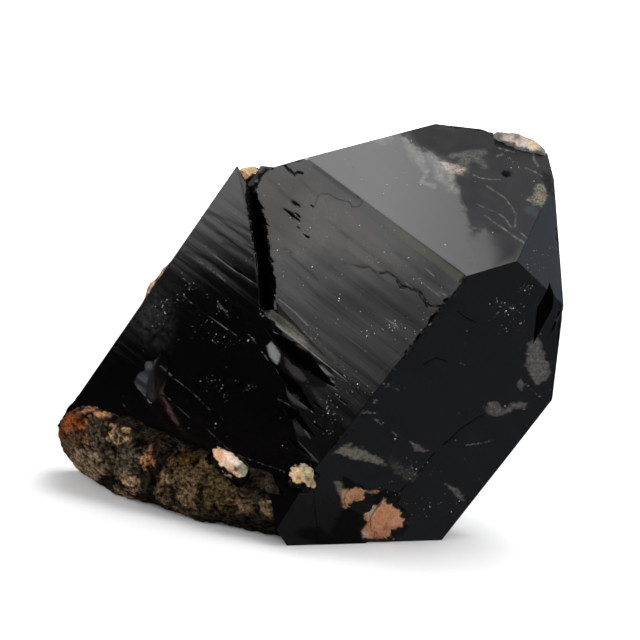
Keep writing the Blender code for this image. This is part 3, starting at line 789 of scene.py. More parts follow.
def paint_tip(seen, here, points, skin, finish):
    """The big tip face: polished and pale at the left, dull with veils at the upper right."""
    ragged = fine_noise(points, 1.3 * MM, 4.0) * 4 + fine_noise(points, 0.5 * MM, 8.0) * 2.2
    lower = step(seen[:, 1], 226, 242)
    dull = in_area(seen, DULL_PLACE, -2.0 - 8 * lower, 3.0 + 8 * lower, ragged * (1 - 0.6 * lower)) * here
    cloud = 0.5 + 0.5 * fine_noise(points, 2.4 * MM, 12.0)
    dark = step(seen[:, 1] + ragged * 0.6, 156, 148) * dull
    finish[:, 0] *= (1 - dull * (0.88 + 0.11 * cloud)) * (1 - 0.36 * step(seen[:, 0], 360, 490) * here)
    skin = blend(skin, dull * 0.8, (0.0125, 0.0132, 0.0150))
    skin = blend(skin, dark * 0.6, (0.006, 0.006, 0.007))
    pale = in_area(seen, PALE_CORNER, -8, 12, ragged * 2) * here
    skin = blend(skin, pale * 0.4, (0.030, 0.031, 0.032))
    finish[:, 0] *= 1 - 0.25 * pale
    thread = 0.6 + 0.55 * fine_noise(points, 0.8 * MM, 6.0)
    for *line, width in PALE_FEATHERS:
        veil = on_line(seen, line, -width * 1.8, 0.0, ragged * 0.4) * here
        skin = blend(skin, veil * 0.75 * np.clip(thread, 0, 1), (0.125, 0.13, 0.112))
    pink = in_area(seen, PINK_PATCH, -2, 2) * here
    skin = blend(skin, pink * np.clip(thread, 0, 1), (0.34, 0.26, 0.21))
    worn = 0.8 * fine_noise(points, 1.1 * MM, 19.0) + 0.7 * fine_noise(points, 0.4 * MM, 20.0)
    worn = np.clip(0.6 + worn, 0.1, 1)
    for *line, width in VEIN_LINES:
        vein = on_line(seen, line, -width * 0.75 - 0.4, 0.2, ragged * 0.22) * here
        skin = blend(skin, vein * worn, (0.12, 0.12, 0.118))
    blue = in_area(seen, BLUE_PATCH, -2, 2, ragged * 0.5) * here
    skin = blend(skin, blue * 0.7, (0.022, 0.032, 0.040))
    rough_edge = in_area(seen, RIM_CHIPS, -1.5, 0.8, ragged * 0.6) * here
    skin = blend(skin, rough_edge * 0.9, (0.0012, 0.0012, 0.0012))
    finish[:, 0] *= 1 - rough_edge
    rim = on_line(seen, CREST_LINE, -5, 0, ragged * 0.5) * here
    skin = blend(skin, rim * 0.35 * step(-seen[:, 0], -470, -450), (0.035, 0.022, 0.018))
    broken = np.clip(0.55 + 1.3 * fine_noise(points, 0.32 * MM, 31.0), 0, 1)
    spots = in_area(seen, CRUST_PATCH, -1.5, 2.0, ragged * 0.9) * here * broken
    off_rust = np.linalg.norm((seen - np.array(RUST_SPOT)) * (0.7, 1.0), axis=1)
    rusty = step(ragged * 0.6 - off_rust, -3.5, -1.0)
    skin = blend(skin, spots, (0.17, 0.165, 0.125))
    skin = blend(skin, spots * rusty, (0.30, 0.15, 0.05))
    chip = in_area(seen, WHITE_CHIP, -1.0, 0.8, ragged * 0.3) * here
    skin = blend(skin, chip, (0.45, 0.45, 0.47))
    return skin, dull, spots


def paint_front(seen, here, left, near_seam, points, skin, finish):
    """The main front face: brownish haze, a pale band under the edge, cracks and slots, and painted highlights on
    the ledge and the small facets below the seam.
    """
    ragged = fine_noise(points, 1.6 * MM, 14.0) * 3
    haze = in_area(seen, BROWN_HAZE, -18, 18, ragged) * here
    skin = blend(skin, haze * (0.8 + 0.3 * fine_noise(points, 1.8 * MM, 21.0)), (0.021, 0.0165, 0.0135))
    band = in_area(seen, OLIVE_BAND, -1.5, 2.0, ragged * 0.4) * here * step(seen[:, 0], 362, 415)
    skin = blend(skin, band, (0.024, 0.024, 0.013))
    finish[:, 0] *= (1 - 0.15 * band) * (1 - 0.20 * step(seen[:, 0], 390, 440) * here) * (1 - 0.06 * here)
    for x, y, wide, high, amount in FRONT_CLOUDS:
        reach = np.hypot((seen[:, 0] - x) / wide, (seen[:, 1] - y) / high)
        finish[:, 0] *= 1 - amount * step(-reach, -1.2, -0.1) * here
    loop = on_line(seen, LOOP_LINE, -1.3, -0.1) * here
    shade = on_line(seen, EDGE_SHADE, -3.5, 0) * here
    finish[:, 0] *= 1 - 0.45 * loop - 0.35 * shade
    depth = np.zeros(len(seen))
    for line in HOOKED_CRACKS:
        depth = np.maximum(depth, on_line(seen, line, -1.05, -0.35) * here)
    for *line, width in DARK_SLOTS:
        depth = np.maximum(depth, on_line(seen, line, -width * 0.5 - 0.2, -0.2) * here * 0.9)
    skin = blend(skin, depth * 1.2, (0.0004, 0.0004, 0.0004))
    for *line, width in SOFT_STREAKS:
        finish[:, 0] *= 1 - 0.25 * on_line(seen, line, -width * 1.6, 0.0, ragged * 0.1) * here
    wedge = in_area(seen, DARK_WEDGE, -2.0, 2.0, ragged) * here
    finish[:, 0] *= 1 - 0.93 * wedge
    # Painted reflection: each small facet's colour stands for the light it mirrors
    for outline, colour, polish in FACET_SHEENS:
        facet = in_area(seen, outline, -0.9, 0.9) * (here + left if outline[0] == SEAM_FACET else here)
        skin = blend(skin, facet, colour)
        finish[:, 0] = np.maximum(finish[:, 0], polish * facet)
    # Painted highlights along the facets' edges
    for *line, width in FACET_EDGE_HIGHLIGHTS:
        skin = blend(skin, on_line(seen, line, -width * 1.5, -0.2) * here * 0.8, (0.09, 0.09, 0.088))
    growing = 0.35 + 0.65 * step(seen[:, 0], 350, 405)
    worn = np.clip(0.62 + 0.9 * fine_noise(points, 0.9 * MM, 61.0), 0.2, 1)
    crack = on_line(seen, WAVY_CRACK, -2.0, 0.1, ragged * 0.4) * here * growing * worn
    stain = on_line(seen, WAVY_CRACK, -7, 0, ragged) * here
    skin = blend(skin, crack * 0.9, (0.011, 0.0075, 0.004))
    finish[:, 0] *= (1 - 0.97 * depth) * (1 - 0.66 * crack) * (1 - 0.18 * stain)
    # Painted highlight and reflection: the ledge's band and lip are given pale and grey colours for the light they
    # catch
    lit = in_area(seen, LEDGE_HIGHLIGHT_BAND, -1.0, 1.0, ragged * 0.2)
    lip_sheen = in_area(seen, LEDGE_LIP_SHEEN, -0.8, 0.8, ragged * 0.15)
    skin = blend(skin, lip_sheen * here, (0.036, 0.031, 0.031))
    finish[:, 0] = np.where((lip_sheen > 0.3) & (here > 0), 0.05, finish[:, 0])
    combed = np.clip(0.55 + 0.8 * noise_along(points, MAIN_LENGTH, 0.5 * MM, 9 * MM, 4.0), 0.25, 1)
    for *line, width in PALE_SCRATCHES:
        pale = on_line(seen, line, -width * 1.2, 0.0, ragged * 0.1) * here
        skin = blend(skin, pale * 0.7 * worn, (0.11, 0.11, 0.10))
    # The ledge walls: the band painted pale as a highlight, brightest round the glint, and the lip painted grey
    # elsewhere
    ledge = near_seam * (1 - here)
    bright = 0.45 + 0.55 * step(-np.linalg.norm(seen - np.array(LEDGE_GLINT), axis=1), -22, -6)
    skin = blend(skin, lit * ledge * combed * bright, (0.24, 0.22, 0.185))
    skin = blend(skin, lip_sheen * ledge * (1 - lit), (0.036, 0.031, 0.031))
    finish[:, 0] = np.where(ledge > 0, 0.08 + 0.25 * lit, finish[:, 0])
    return skin, np.maximum(depth, crack * 0.6)


def paint_right(seen, here, close, points, skin, finish):
    """The right-hand front face: bluish black with mica-grey spots, cracks and scratches."""
    ragged = fine_noise(points, 0.8 * MM, 15.0) * 2.2 + fine_noise(points, 0.4 * MM, 3.0) * 1.6
    grain = np.clip(0.62 + 0.7 * fine_noise(points, 0.4 * MM, 40.0), 0, 1.3)
    crumbly = np.clip(0.35 + 1.6 * fine_noise(points, 0.35 * MM, 44.0), 0, 1)
    spots = np.zeros(len(seen))
    for outline in MICA_SPOTS:
        spots = np.maximum(spots, in_area(seen, outline, -1.5, 1.5, ragged) * here)
    halo = in_area(seen, MICA_HALO, -2, 3, ragged * 2) * here * 0.35
    green = step(seen[:, 1], 430, 440) * step(-seen[:, 0], -400, -390)
    skin = blend(skin, spots * grain * 0.8, (0.115, 0.105, 0.098))
    skin = blend(skin, spots * grain * green * 0.8, (0.105, 0.102, 0.070))
    skin = blend(skin, halo * grain, (0.07, 0.068, 0.055))
    finish[:, 0] *= 1 - 0.6 * spots
    depth = np.zeros(len(seen))
    for line in RIGHT_CRACKS:
        depth = np.maximum(depth, on_line(seen, line, -1.3, -0.4, ragged * 0.2) * here)
    finish[:, 0] *= 1 - 0.8 * depth
    for *line, width in RIGHT_SCRATCHES:
        pale = on_line(seen, line, -width * 1.2, 0.4, ragged * 0.5) * here
        skin = blend(skin, pale * crumbly, (0.12, 0.12, 0.11))
    low = step(seen[:, 1] + ragged * 2, 486, 512) * here * step(-seen[:, 0], -430, -400)
    skin = blend(skin, low * 0.8, (0.0045, 0.0030, 0.0024))
    finish[:, 0] *= 1 - 0.7 * low
    for outline in RIGHT_DARK:
        black = in_area(seen, outline, -1.5, 1.5, ragged * 0.8) * here
        low = np.maximum(low, black)
        skin = blend(skin, black, (0.0016, 0.0013, 0.0012))
        finish[:, 0] *= 1 - 0.93 * black
    olive = in_area(seen, OLIVE_FRINGE, -2.5, 3.0, ragged * 1.2) * here * np.clip(grain, 0, 1)
    skin = blend(skin, olive * 0.8, (0.050, 0.042, 0.030))
    for node in ("orange_feldspar_left", "orange_feldspar_right"):
        outlines, colour, blotches = LUMPS[node]
        stain = in_area(seen, outlines[0], -0.8, 0.8, ragged * 0.5) * close
        skin = blend(skin, stain, spotted(points, seen, colour, blotches))
        finish[:, 0] *= 1 - stain
    return skin, depth, spots, low


def paint_left(seen, here, close, points, skin, finish):
    """The left crystal's face: banded grey at the top, black below, brown towards the rock."""
    ragged = fine_noise(points, 1.0 * MM, 25.0) * 2
    chip = in_area(seen, CURVED_CHIP, -1.0, 1.2, ragged * 0.5) * close
    hollow = close * (1 - here)
    skin = blend(skin, hollow, (0.0016, 0.0009, 0.0007))
    finish[:, 0] *= (1 - hollow) * (1 - 0.85 * chip)
    combed = np.clip(0.5 + 1.1 * noise_along(points, LEFT_LENGTH, 0.28 * MM, 6 * MM, 5.0), 0, 1)
    crumbly = np.clip(0.5 + 1.4 * fine_noise(points, 0.4 * MM, 44.0), 0, 1)
    skin = blend(skin, chip * (0.1 + 0.9 * combed), (0.034, 0.036, 0.044))
    # Painted highlight: a greenish glint at the top of the chip
    green = in_area(seen, CHIP_TOP_GLINT, -1, 1) * chip
    skin = blend(skin, green * 0.6, (0.060, 0.066, 0.060))
    banded = np.zeros(len(seen))
    for *line, width in LEFT_BANDS:
        band = on_line(seen, line, -width, 0.0, ragged * 0.3) * here
        banded = np.maximum(banded, band * (0.7 + 0.5 * combed))
    finish[:, 0] *= 1 - 0.5 * np.clip(banded, 0, 1)
    for *line, width in BROWN_STREAKS:
        brown = on_line(seen, line, -width, 0.5, ragged) * close
        skin = blend(skin, brown * 0.75, (0.0085, 0.0048, 0.0032))
    for *line, width in PALE_STREAKS:
        pale = on_line(seen, line, -width, 0.6, ragged * 0.9) * close
        skin = blend(skin, pale * 0.9 * np.clip(combed * 1.2 - 0.1, 0, 1), (0.085, 0.052, 0.038))
    dust = in_area(seen, BROWN_DUST, -8, 8, ragged * 2) * here
    skin = blend(skin, dust * np.clip(0.4 + fine_noise(points, 0.7 * MM, 33.0), 0, 1), (0.013, 0.011, 0.011))
    for *line, width in LEFT_SCRATCHES:
        scratch = on_line(seen, line, -width * 0.7 - 0.25, 0.0, ragged * 0.3) * close
        strength = np.maximum(crumbly, 0.6 * (width > 1.45)) * min(1.0, width + 0.2)
        skin = blend(skin, scratch * strength, (0.080, 0.081, 0.083))
    low = step(seen[:, 1] + ragged * 3 - 0.16 * (seen[:, 0] - 100), 372, 420) * here
    skin = blend(skin, low * 0.6, (0.0022, 0.0015, 0.0013))
    return skin, chip


def noise_along(points, length, grain, run, shift=0.0):
    """Noise in growth lines: fine along the crystal's length, drawn out across it."""
    along = length * (1 / grain - 1 / run)
    moved = points / run + np.outer(points @ np.array(length), np.array(along))
    return np.array([noise.noise(Vector(p) + Vector((shift, -shift, shift * 2))) for p in moved])


def dust_on(seen, here):
    """How dusty each place is: thick in the clusters, thin elsewhere."""
    dusty = 0.1 * here["front"] + 0.05 * here["right"] - 0.3 * here["left"]
    for face, x, y, wide, high, amount in DUST_CLUSTERS:
        reach = np.hypot((seen[:, 0] - x) / wide, (seen[:, 1] - y) / high)
        dusty = np.maximum(dusty, amount * step(-reach, -1.6, 0.0) * here[face])
    return dusty


def scatter_grit():
    """Small pale grains on the faces, thickest in the dusty clusters."""
    draw = random.Random(11)
    places = []
    for face, x, y, wide, high, amount in DUST_CLUSTERS:
        for _ in range(int(amount * (4 + wide * high / 9))):
            places.append((face, draw.gauss(x, wide * 0.5), draw.gauss(y, high * 0.5)))
    for face, outline in FACE_OUTLINES.items():
        columns, rows = zip(*outline)
        for _ in range(150 if face == "front" else 60):
            places.append((face, draw.uniform(min(columns), max(columns)), draw.uniform(min(rows), max(rows))))
    bm = bmesh.new()
    shades = []
    for face, x, y in places:
        if inside(np.array([(x, y)]), FACE_OUTLINES[face])[0] < 2:
            continue
        outward = FACES[face][0]
        side = outward.orthogonal().normalized()
        size = draw.choice((0.05, 0.06, 0.07, 0.09, 0.13)) * MM
        frame_axes = (side, outward.cross(side), outward)
        middle = spot(face, x, y, 0.01)
        corners = []
        for axis, stretch in zip(frame_axes, (1.0, 1.0, 0.6)):
            for sign in (1, -1):
                corners.append(bm.verts.new(middle + axis * (sign * size * stretch * draw.uniform(0.6, 1.4))))
        for a in (0, 1):
            for b in (2, 3):
                for c in (4, 5):
                    order = (a, b, c) if (a + b + c) % 2 else (b, a, c)
                    bm.faces.new([corners[k] for k in order])
        bright = draw.choice((0.06, 0.1, 0.16, 0.3, 0.55))
        shades += [(bright, bright * draw.uniform(0.92, 1.0), bright * draw.uniform(0.8, 1.0))] * 6
    bmesh.ops.recalc_face_normals(bm, faces=bm.faces)
    mesh = bpy.data.meshes.new("surface_grit")
    bm.to_mesh(mesh)
    bm.free()
    piece = bpy.data.objects.new("surface_grit", mesh)
    bpy.context.scene.collection.objects.link(piece)
    set_paint(piece, "skin", np.array(shades))
    stuff, place, paint, feed = new_material("pale_grit")
    feed(Base_Color=paint("skin"), Roughness=0.6)
    mesh.materials.append(stuff)
    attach(piece, "root")


def close_slots(points, seen, normals):
    """Levels the slots that the fine surface closes, and returns where the front face stays sunk."""
    depth = above(points, SHOULDER, MAIN[0])
    near = np.min([to_line(seen, line) for line in CLOSED_SLOTS], axis=0) < 10
    closed = near & (depth < -0.02 * MM) & (depth > -1.6 * MM)
    points[closed] -= np.outer(depth[closed], np.array(MAIN[0]))
    right_depth = above(points, SHOULDER, MAIN[1])
    shut = (inside(seen, CLOSED_NOTCH) > 0) & (right_depth < -0.02 * MM) & (right_depth > -1.4 * MM)
    shut &= normals @ np.array(MAIN[2]) < 0.6
    points[shut] -= np.outer(right_depth[shut], np.array(MAIN[1]))
    return (depth < -0.05 * MM) & (depth > -2.0 * MM) & ~closed & (inside(seen, FRONT_SLOTTED) > 0)


def faces_at(points, normals):
    """For each face that shows, 1 at the points that lie on it."""
    here = {}
    for face, (outward, point) in FACES.items():
        off = np.abs(above(points, point, outward))
        here[face] = ((off < 0.25 * MM) & (normals @ np.array(outward) > 0.75)).astype(float)
    return here


def paint_joins(seen, here, points, chips, skin, finish):
    """The notch, the dark seam between the crystals and the chipped ridge at the right."""
    notch = in_area(seen, NOTCH_CRYSTAL, -1.0, 1.0) * np.where(here["left"] + here["tip"] > 0, 0, 1)
    gap = on_line(seen, NOTCH_GAP, -2.6, -1.1) * np.where(here["left"] > 0, 0, 1)
    skin = blend(skin, gap, (0.0003, 0.0003, 0.0003))
    chipped = step(chips, 0.1, 0.5) * on_line(seen, CHIPPED_EDGE, -3.0, -1.2) * (here["front"] + here["right"] > 0)
    skin = blend(skin, chipped * step(chips, 0.55, 0.8), (0.10, 0.10, 0.095))
    seam = inside(seen, SEAM_SIDES) + 2.2 * noise_along(points, MAIN_LENGTH, 0.5 * MM, 7 * MM, 9.0) * here["front"]
    seam = step(seam, -0.8, 0.8) * np.where(here["tip"] + here["right"] > 0, 0, 1)
    finish[:, 0] *= (1 - 0.70 * notch) * (1 - gap) * (1 - 0.7 * chipped) * (1 - seam)
    return blend(skin, seam, (0.0004, 0.0004, 0.0004)), seam, chipped


def dress_crystals():
    piece = merged_copy("morion_crystals", "polished_crystals")
    soften_edges(piece)
    facing = [outward for outward, _ in FACES.values()]
    rule_grid(piece, (MAIN_LENGTH, ALONG), GRID, facing)
    sized = FACET_EDGE_HIGHLIGHTS + DARK_SLOTS + VEIN_LINES + PALE_SCRATCHES + LEFT_SCRATCHES + RIGHT_SCRATCHES
    thin = [line[:-1] for line in sized] + [*HOOKED_CRACKS, *RIGHT_CRACKS, WAVY_CRACK, LOOP_LINE]
    rule_finer(piece, thin, facing)

    points = points_of(piece)
    seen = in_picture(points)
    sunk = close_slots(points, seen, normals_of(piece))
    move_to(piece, points)
    normals = normals_of(piece)
    here = faces_at(points, normals)
    flat = sum(here.values()) > 0

    # Colours and gloss
    skin = np.tile(QUARTZ_BLACK, (len(points), 1))
    finish = np.tile((1.0, 0.0, 0.0), (len(points), 1))
    skin, dull, spots = paint_tip(seen, here["tip"], points, skin, finish)
    near_seam = np.linalg.norm(points - np.array(LEDGE_MIDDLE), axis=1) < LEDGE_REACH
    near_seam &= (above(points, SHOULDER, MAIN[0]) > -7 * MM) & (here["left"] + here["right"] < 1)
    skin, slots = paint_front(seen, here["front"], here["left"], near_seam.astype(float), points, skin, finish)
    close = (np.abs(above(points, SHOULDER, MAIN[1])) < 0.9 * MM).astype(float)
    skin, cracks, mica, low = paint_right(seen, here["right"], close, points, skin, finish)
    off_left = np.abs(above(points, SEAM_TOP, LEFT[0])) < 3 * MM
    chip_zone = off_left & (inside(seen, CHIP_ZONE) > 0) & (normals @ np.array(LEFT[0]) > -0.2)
    skin, chip = paint_left(seen, here["left"], np.maximum(here["left"], chip_zone), points, skin, finish)
    finish[sunk, 0] = 0.0
    chips = fine_noise(points, 0.9 * MM, 51.0) + 0.5 * fine_noise(points, 0.35 * MM, 52.0)
    skin, seam, chipped = paint_joins(seen, here, points, chips, skin, finish)
    crumbs = fine_noise(points, 0.45 * MM, 17.0)
    off_pit = np.linalg.norm((seen - np.array(PIT)) * (0.8, 1.2), axis=1)
    pit = step(2.2 * crumbs - off_pit, -4.0, -1.0) * here["tip"]
    skin = blend(skin, pit, (0.002, 0.0035, 0.0025))
    finish[:, 0] *= 1 - pit
    finish[:, 1] = np.clip(dull * 0.25 + spots + mica + low, 0, 1)
    finish[:, 2] = dust_on(seen, here)
    upright = np.minimum(np.abs(normals @ np.array(MAIN_LENGTH)), np.abs(normals @ np.array(LEFT_LENGTH))) < 0.3
    stripes = 0.12 + 0.35 * here["front"] + 0.3 * here["left"] + 0.3 * here["right"] + 0.25 * (upright & ~flat)
    plain = np.max([inside(seen, outline) for outline, _, _ in FACET_SHEENS], axis=0) > -1

    # A little relief, in millimetres
    terraces = noise_along(points, MAIN_LENGTH, 1.6 * MM, 26 * MM) * 0.010
    left_terraces = noise_along(points, LEFT_LENGTH, 1.3 * MM, 22 * MM, 3.0) * 0.007
    relief = np.where(here["left"] > 0, left_terraces, terraces)
    relief += spots * (0.10 + 0.12 * crumbs) + mica * (0.02 + 0.03 * crumbs) + low * (0.06 * crumbs - 0.03)
    relief -= slots * 0.05 + cracks * 0.12 + chip * 0.05 + seam * 0.5 + chipped * 0.22
    broken = np.min([to_line(seen, line) for line in BROKEN_EDGES], axis=0)
    relief -= 0.26 * step(-broken, -2.6, -0.6) * step(chips, -0.1, 0.7) + pit * 0.7
    move_to(piece, points + normals * np.where(flat, relief, 0)[:, None] * MM)

    set_paint(piece, "stripes", np.stack([stripes, plain, plain], axis=1))
    set_paint(piece, "skin", np.clip(skin, 0, 1))
    set_paint(piece, "finish", np.clip(finish, 0, 1))
    piece.data.materials.append(quartz_material())
    select_only(piece)
    bpy.ops.object.shade_smooth_by_angle(angle=SMOOTH)
    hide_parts("morion_crystals")
    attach(piece, "root")


# The lumps as they are seen: outlines, main colour and blotches (place, radius, colour)
LUMPS = {
    "pink_feldspar": (
        (((213, 449), (217, 447.5), (224, 449), (232, 453), (240, 458), (247, 463), (248.5, 470), (246, 476),
          (240, 478), (233, 474), (227, 470), (219, 464), (214, 456)),),
        (0.54, 0.37, 0.25),
        ((218, 455, 7, (0.54, 0.30, 0.18)), (228, 457, 6, (0.66, 0.48, 0.36)),
         (237, 461, 5, (0.66, 0.56, 0.45)),
         (244, 470, 7, (0.24, 0.23, 0.14)), (236, 469, 3.5, (0.05, 0.045, 0.03)),
         (230, 472, 4, (0.34, 0.13, 0.05)),
         (234, 476, 3, (0.28, 0.09, 0.03))),
    ),
    "cream_feldspar": (
        (((289.5, 474), (291, 468), (295, 465.5), (298, 467), (301, 464), (305, 463), (308, 466), (312, 468),
          (314, 474), (314, 480), (316.5, 484), (314, 488.5), (308, 486), (303, 482), (297, 484), (292, 480)),),
        (0.42, 0.29, 0.15),
        ((296, 474, 6, (0.48, 0.32, 0.18)), (306, 470, 6, (0.34, 0.28, 0.145)),
         (311, 480, 6, (0.26, 0.20, 0.12)),
         (308, 479, 2.2, (0.10, 0.07, 0.04)), (311, 484, 1.6, (0.12, 0.08, 0.05)),
         (303, 466, 3, (0.26, 0.24, 0.17)),
         (299, 477, 1.4, (0.15, 0.08, 0.04)), (312, 472, 2.5, (0.22, 0.20, 0.12))),
    ),
    "orange_feldspar_left": (
        (((342, 490), (352, 489.5), (364, 491), (378, 490.6), (376, 493), (367.6, 495), (366, 500),
          (361, 502.7),
          (356, 504), (354, 507), (349, 506.5), (346, 510), (343, 505), (341.5, 498)),),
        (0.25, 0.117, 0.056),
        ((371, 492, 4, (0.14, 0.08, 0.045)), (346, 494, 4, (0.27, 0.15, 0.085)),
         (357, 499, 5, (0.23, 0.10, 0.05))),
    ),
    "orange_feldspar_right": (
        (((367, 506), (371, 504), (379, 506.5), (383, 499), (385, 498.5), (387.5, 505), (394, 507), (398, 511),
          (405, 515), (403, 519.5), (407, 522), (405, 528), (399, 531), (394, 533), (393, 538.4), (383, 538),
          (370, 538.4), (363, 537), (362, 531), (366, 526), (368, 522), (364.5, 518), (365, 513)),),
        (0.32, 0.138, 0.066),
        ((371, 511, 6, (0.28, 0.21, 0.145)), (384, 501, 3, (0.28, 0.19, 0.12)),
         (380, 516, 4, (0.32, 0.115, 0.05)),
         (388, 530, 3, (0.17, 0.08, 0.04)), (366, 534, 3, (0.32, 0.28, 0.25)),
         (398, 522, 5, (0.31, 0.16, 0.095))),
    ),
    "notch_feldspar": (
        (((239, 171), (242, 168.5), (248, 167), (254, 166.7), (258, 168), (259.6, 170), (253, 174), (248, 178),
          (245, 180),
          (241, 176)),),
        (0.60, 0.38, 0.18),
        ((247, 170, 4, (0.66, 0.50, 0.30)), (255, 169, 3, (0.52, 0.38, 0.20)),
         (244, 176, 3, (0.62, 0.32, 0.16))),
    ),
    "rim_feldspar": (
        (((172.5, 262), (174, 259), (178, 258), (182, 258), (180, 268), (174, 264)),
         ((160.5, 274), (162.5, 269.5), (167, 269), (174, 270), (172, 284), (163, 279)),
         ((146, 296), (148, 288), (151, 283), (157, 280.5), (164, 281), (166, 300), (150, 330), (128, 332),
          (139, 312))),
        (0.62, 0.36, 0.20),
        ((176, 262, 5, (0.50, 0.44, 0.38)), (164, 274, 5, (0.66, 0.38, 0.24)),
         (149, 287, 5, (0.40, 0.26, 0.16))),
    ),
    "crest_crust": (
        (((494, 133.5), (497, 132), (503, 132.5), (508, 134.5), (512, 133), (518, 133.5), (526, 137.5),
          (534, 140.3), (540, 145),
          (545, 150), (546, 153), (538, 151), (533, 150.7), (526, 148), (516, 144), (508, 141.5), (500, 140),
          (495, 137)),),
        (0.46, 0.38, 0.32),
        ((499, 136, 5, (0.20, 0.17, 0.16)), (508, 135, 4, (0.42, 0.36, 0.34)),
         (517, 137, 4, (0.26, 0.20, 0.18)),
         (526, 142, 5, (0.55, 0.45, 0.36)), (533, 145, 4, (0.58, 0.44, 0.26)),
         (543, 150, 4, (0.22, 0.15, 0.10)),
         (523, 147, 3, (0.40, 0.42, 0.44))),
    ),
}


# Lumps whose outline against the pale ground is drawn in to these outlines
HELD_INSIDE = {
    "notch_feldspar": LUMPS["notch_feldspar"][0],
    "rim_feldspar": LUMPS["rim_feldspar"][0],
    "crest_crust": (
        ((494, 133.5), (497, 132), (503, 132.5), (508, 134.5), (512, 133), (518, 133.5), (526, 137.5),
         (534, 140.3),
         (540, 145), (545, 150), (548, 160), (530, 162), (505, 152), (492, 144)),
    ),
}


def rounded(piece, points, times):
    """The points averaged with their neighbours that many times."""
    ends = np.array([edge.vertices[:] for edge in piece.data.edges])
    count = np.bincount(ends.ravel(), minlength=len(points))[:, None]
    for _ in range(times):
        total = np.zeros_like(points)
        np.add.at(total, ends[:, 0], points[ends[:, 1]])
        np.add.at(total, ends[:, 1], points[ends[:, 0]])
        points = points * 0.5 + total / count * 0.5
    return points


def spotted(points, seen, colour, blotches):
    """A colour for each point: the main colour with ragged blotches and fine lighter and darker grains."""
    ragged = fine_noise(points, 0.5 * MM, 6.0) * 2.0
    skin = np.tile(colour, (len(points), 1))
    for x, y, radius, tone in blotches:
        near = radius - np.linalg.norm(seen - np.array((x, y)), axis=1) + ragged
        skin = blend(skin, step(near, -2.0, 2.5), tone)
    return skin * (1 + 0.35 * fine_noise(points, 0.3 * MM, 9.0))[:, None]


def dress_lumps():
    stuff = feldspar_material()
    for node, (outlines, colour, blotches) in LUMPS.items():
        flat = node.startswith("orange")
        piece = merged_copy(node, node + "_grain", 7 if flat else 5)
        points, normals = points_of(piece), normals_of(piece)
        towards = np.array(EYE) - points
        shown = step(np.sum(normals * towards, axis=1) / np.linalg.norm(towards, axis=1), -0.1, 0.3)[:, None]
        if not flat:
            points = points * shown + rounded(piece, points, 160) * (1 - shown)
        relief = fine_noise(points, 0.9 * MM, 3.0) * 0.35 + fine_noise(points, 0.35 * MM) * 0.12
        points = points + normals * (0.25 + relief)[:, None] * MM
        if node in HELD_INSIDE:
            points = hold_inside(points, HELD_INSIDE[node])
        seen = in_picture(points)
        skin = spotted(points, seen, colour, blotches)
        frayed = fine_noise(points, 0.8 * MM, 41.0) * 1.6 + fine_noise(points, 0.4 * MM, 42.0) * 1.2
        pale = np.max([inside(seen, outline) for outline in outlines], axis=0) + frayed
        # Outside its outline a lump is painted near-black like the stone round it; the crest crust's lower wall is
        # painted light grey instead, a painted lightening of the shade it lies in
        around = (0.10, 0.10, 0.105) if node == "crest_crust" else (0.003, 0.0027, 0.0024)
        fades = (0.2, 1.0) if node in HELD_INSIDE else (0.0, 0.05)
        fronting = 1.0 if flat else step(shown[:, 0], *fades)
        skin = blend(skin, step(-pale, -0.7, 0.7) * fronting, around)
        if flat:
            outward = np.array(MAIN[1])
            depth = above(points, SHOULDER, MAIN[1])
            wanted = (step(pale, -0.5, 4.0) * (0.36 + relief * 0.5) + 0.03) * MM
            raised = depth > -0.4 * MM
            points[raised] += np.outer((wanted - depth)[raised], outward)
        elif node in ("pink_feldspar", "cream_feldspar"):
            rough = fine_noise(points, 0.7 * MM, 13.0) * 0.22 - 0.7 * step(-pale, -0.5, 2.0)
            points = points + normals * rough[:, None] * MM
        move_to(piece, points)
        set_paint(piece, "skin", np.clip(skin, 0, 1))
        piece.data.materials.append(stuff)
        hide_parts(node)
        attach(piece, "root")


# Zones of the rock as they are seen: place, half width, half height, colour
ROCK_ZONES = (
    (190, 484, 36, 30, (0.100, 0.072, 0.042)), (215, 486, 20, 22, (0.060, 0.046, 0.022)),
    (188, 459, 15, 9, (0.048, 0.032, 0.010)), (72, 428, 18, 14, (0.170, 0.052, 0.015)),
    (75, 445, 14, 14, (0.095, 0.060, 0.035)), (82, 436, 4, 8, (0.20, 0.10, 0.05)),
    (96, 434, 12, 13, (0.055, 0.044, 0.034)), (116, 434, 14, 9, (0.29, 0.215, 0.125)),
    (87, 466, 17, 20, (0.19, 0.145, 0.095)), (126, 461, 20, 16, (0.060, 0.052, 0.038)),
    (128, 487, 12, 12, (0.24, 0.17, 0.115)), (97, 411, 14, 5.5, (0.40, 0.21, 0.12)),
    (108, 420, 5, 8, (0.22, 0.15, 0.09)), (147, 459, 3.5, 8, (0.30, 0.15, 0.08)),
    (241, 507, 15, 8, (0.105, 0.078, 0.043)), (266, 508, 9, 8, (0.130, 0.100, 0.060)),
    (297, 528, 8, 3, (0.28, 0.19, 0.10)),
    (285, 507, 6, 6, (0.07, 0.055, 0.035)),
)
ROCK_VEINS = (
    ((103, 450), (110, 462), (113, 474), (121, 490), 5.0), ((148, 500), (155, 480), (158, 462), (168, 452),
     8.0),
    ((112, 418), (122, 424), (134, 430), (146, 442), 6.0), ((222, 452), (226, 468), (232, 482), (250, 490),
     5.0),
    ((75, 450), (88, 448), (100, 444), 2.0), ((168, 504), (186, 508), (206, 512), 4.0),
)


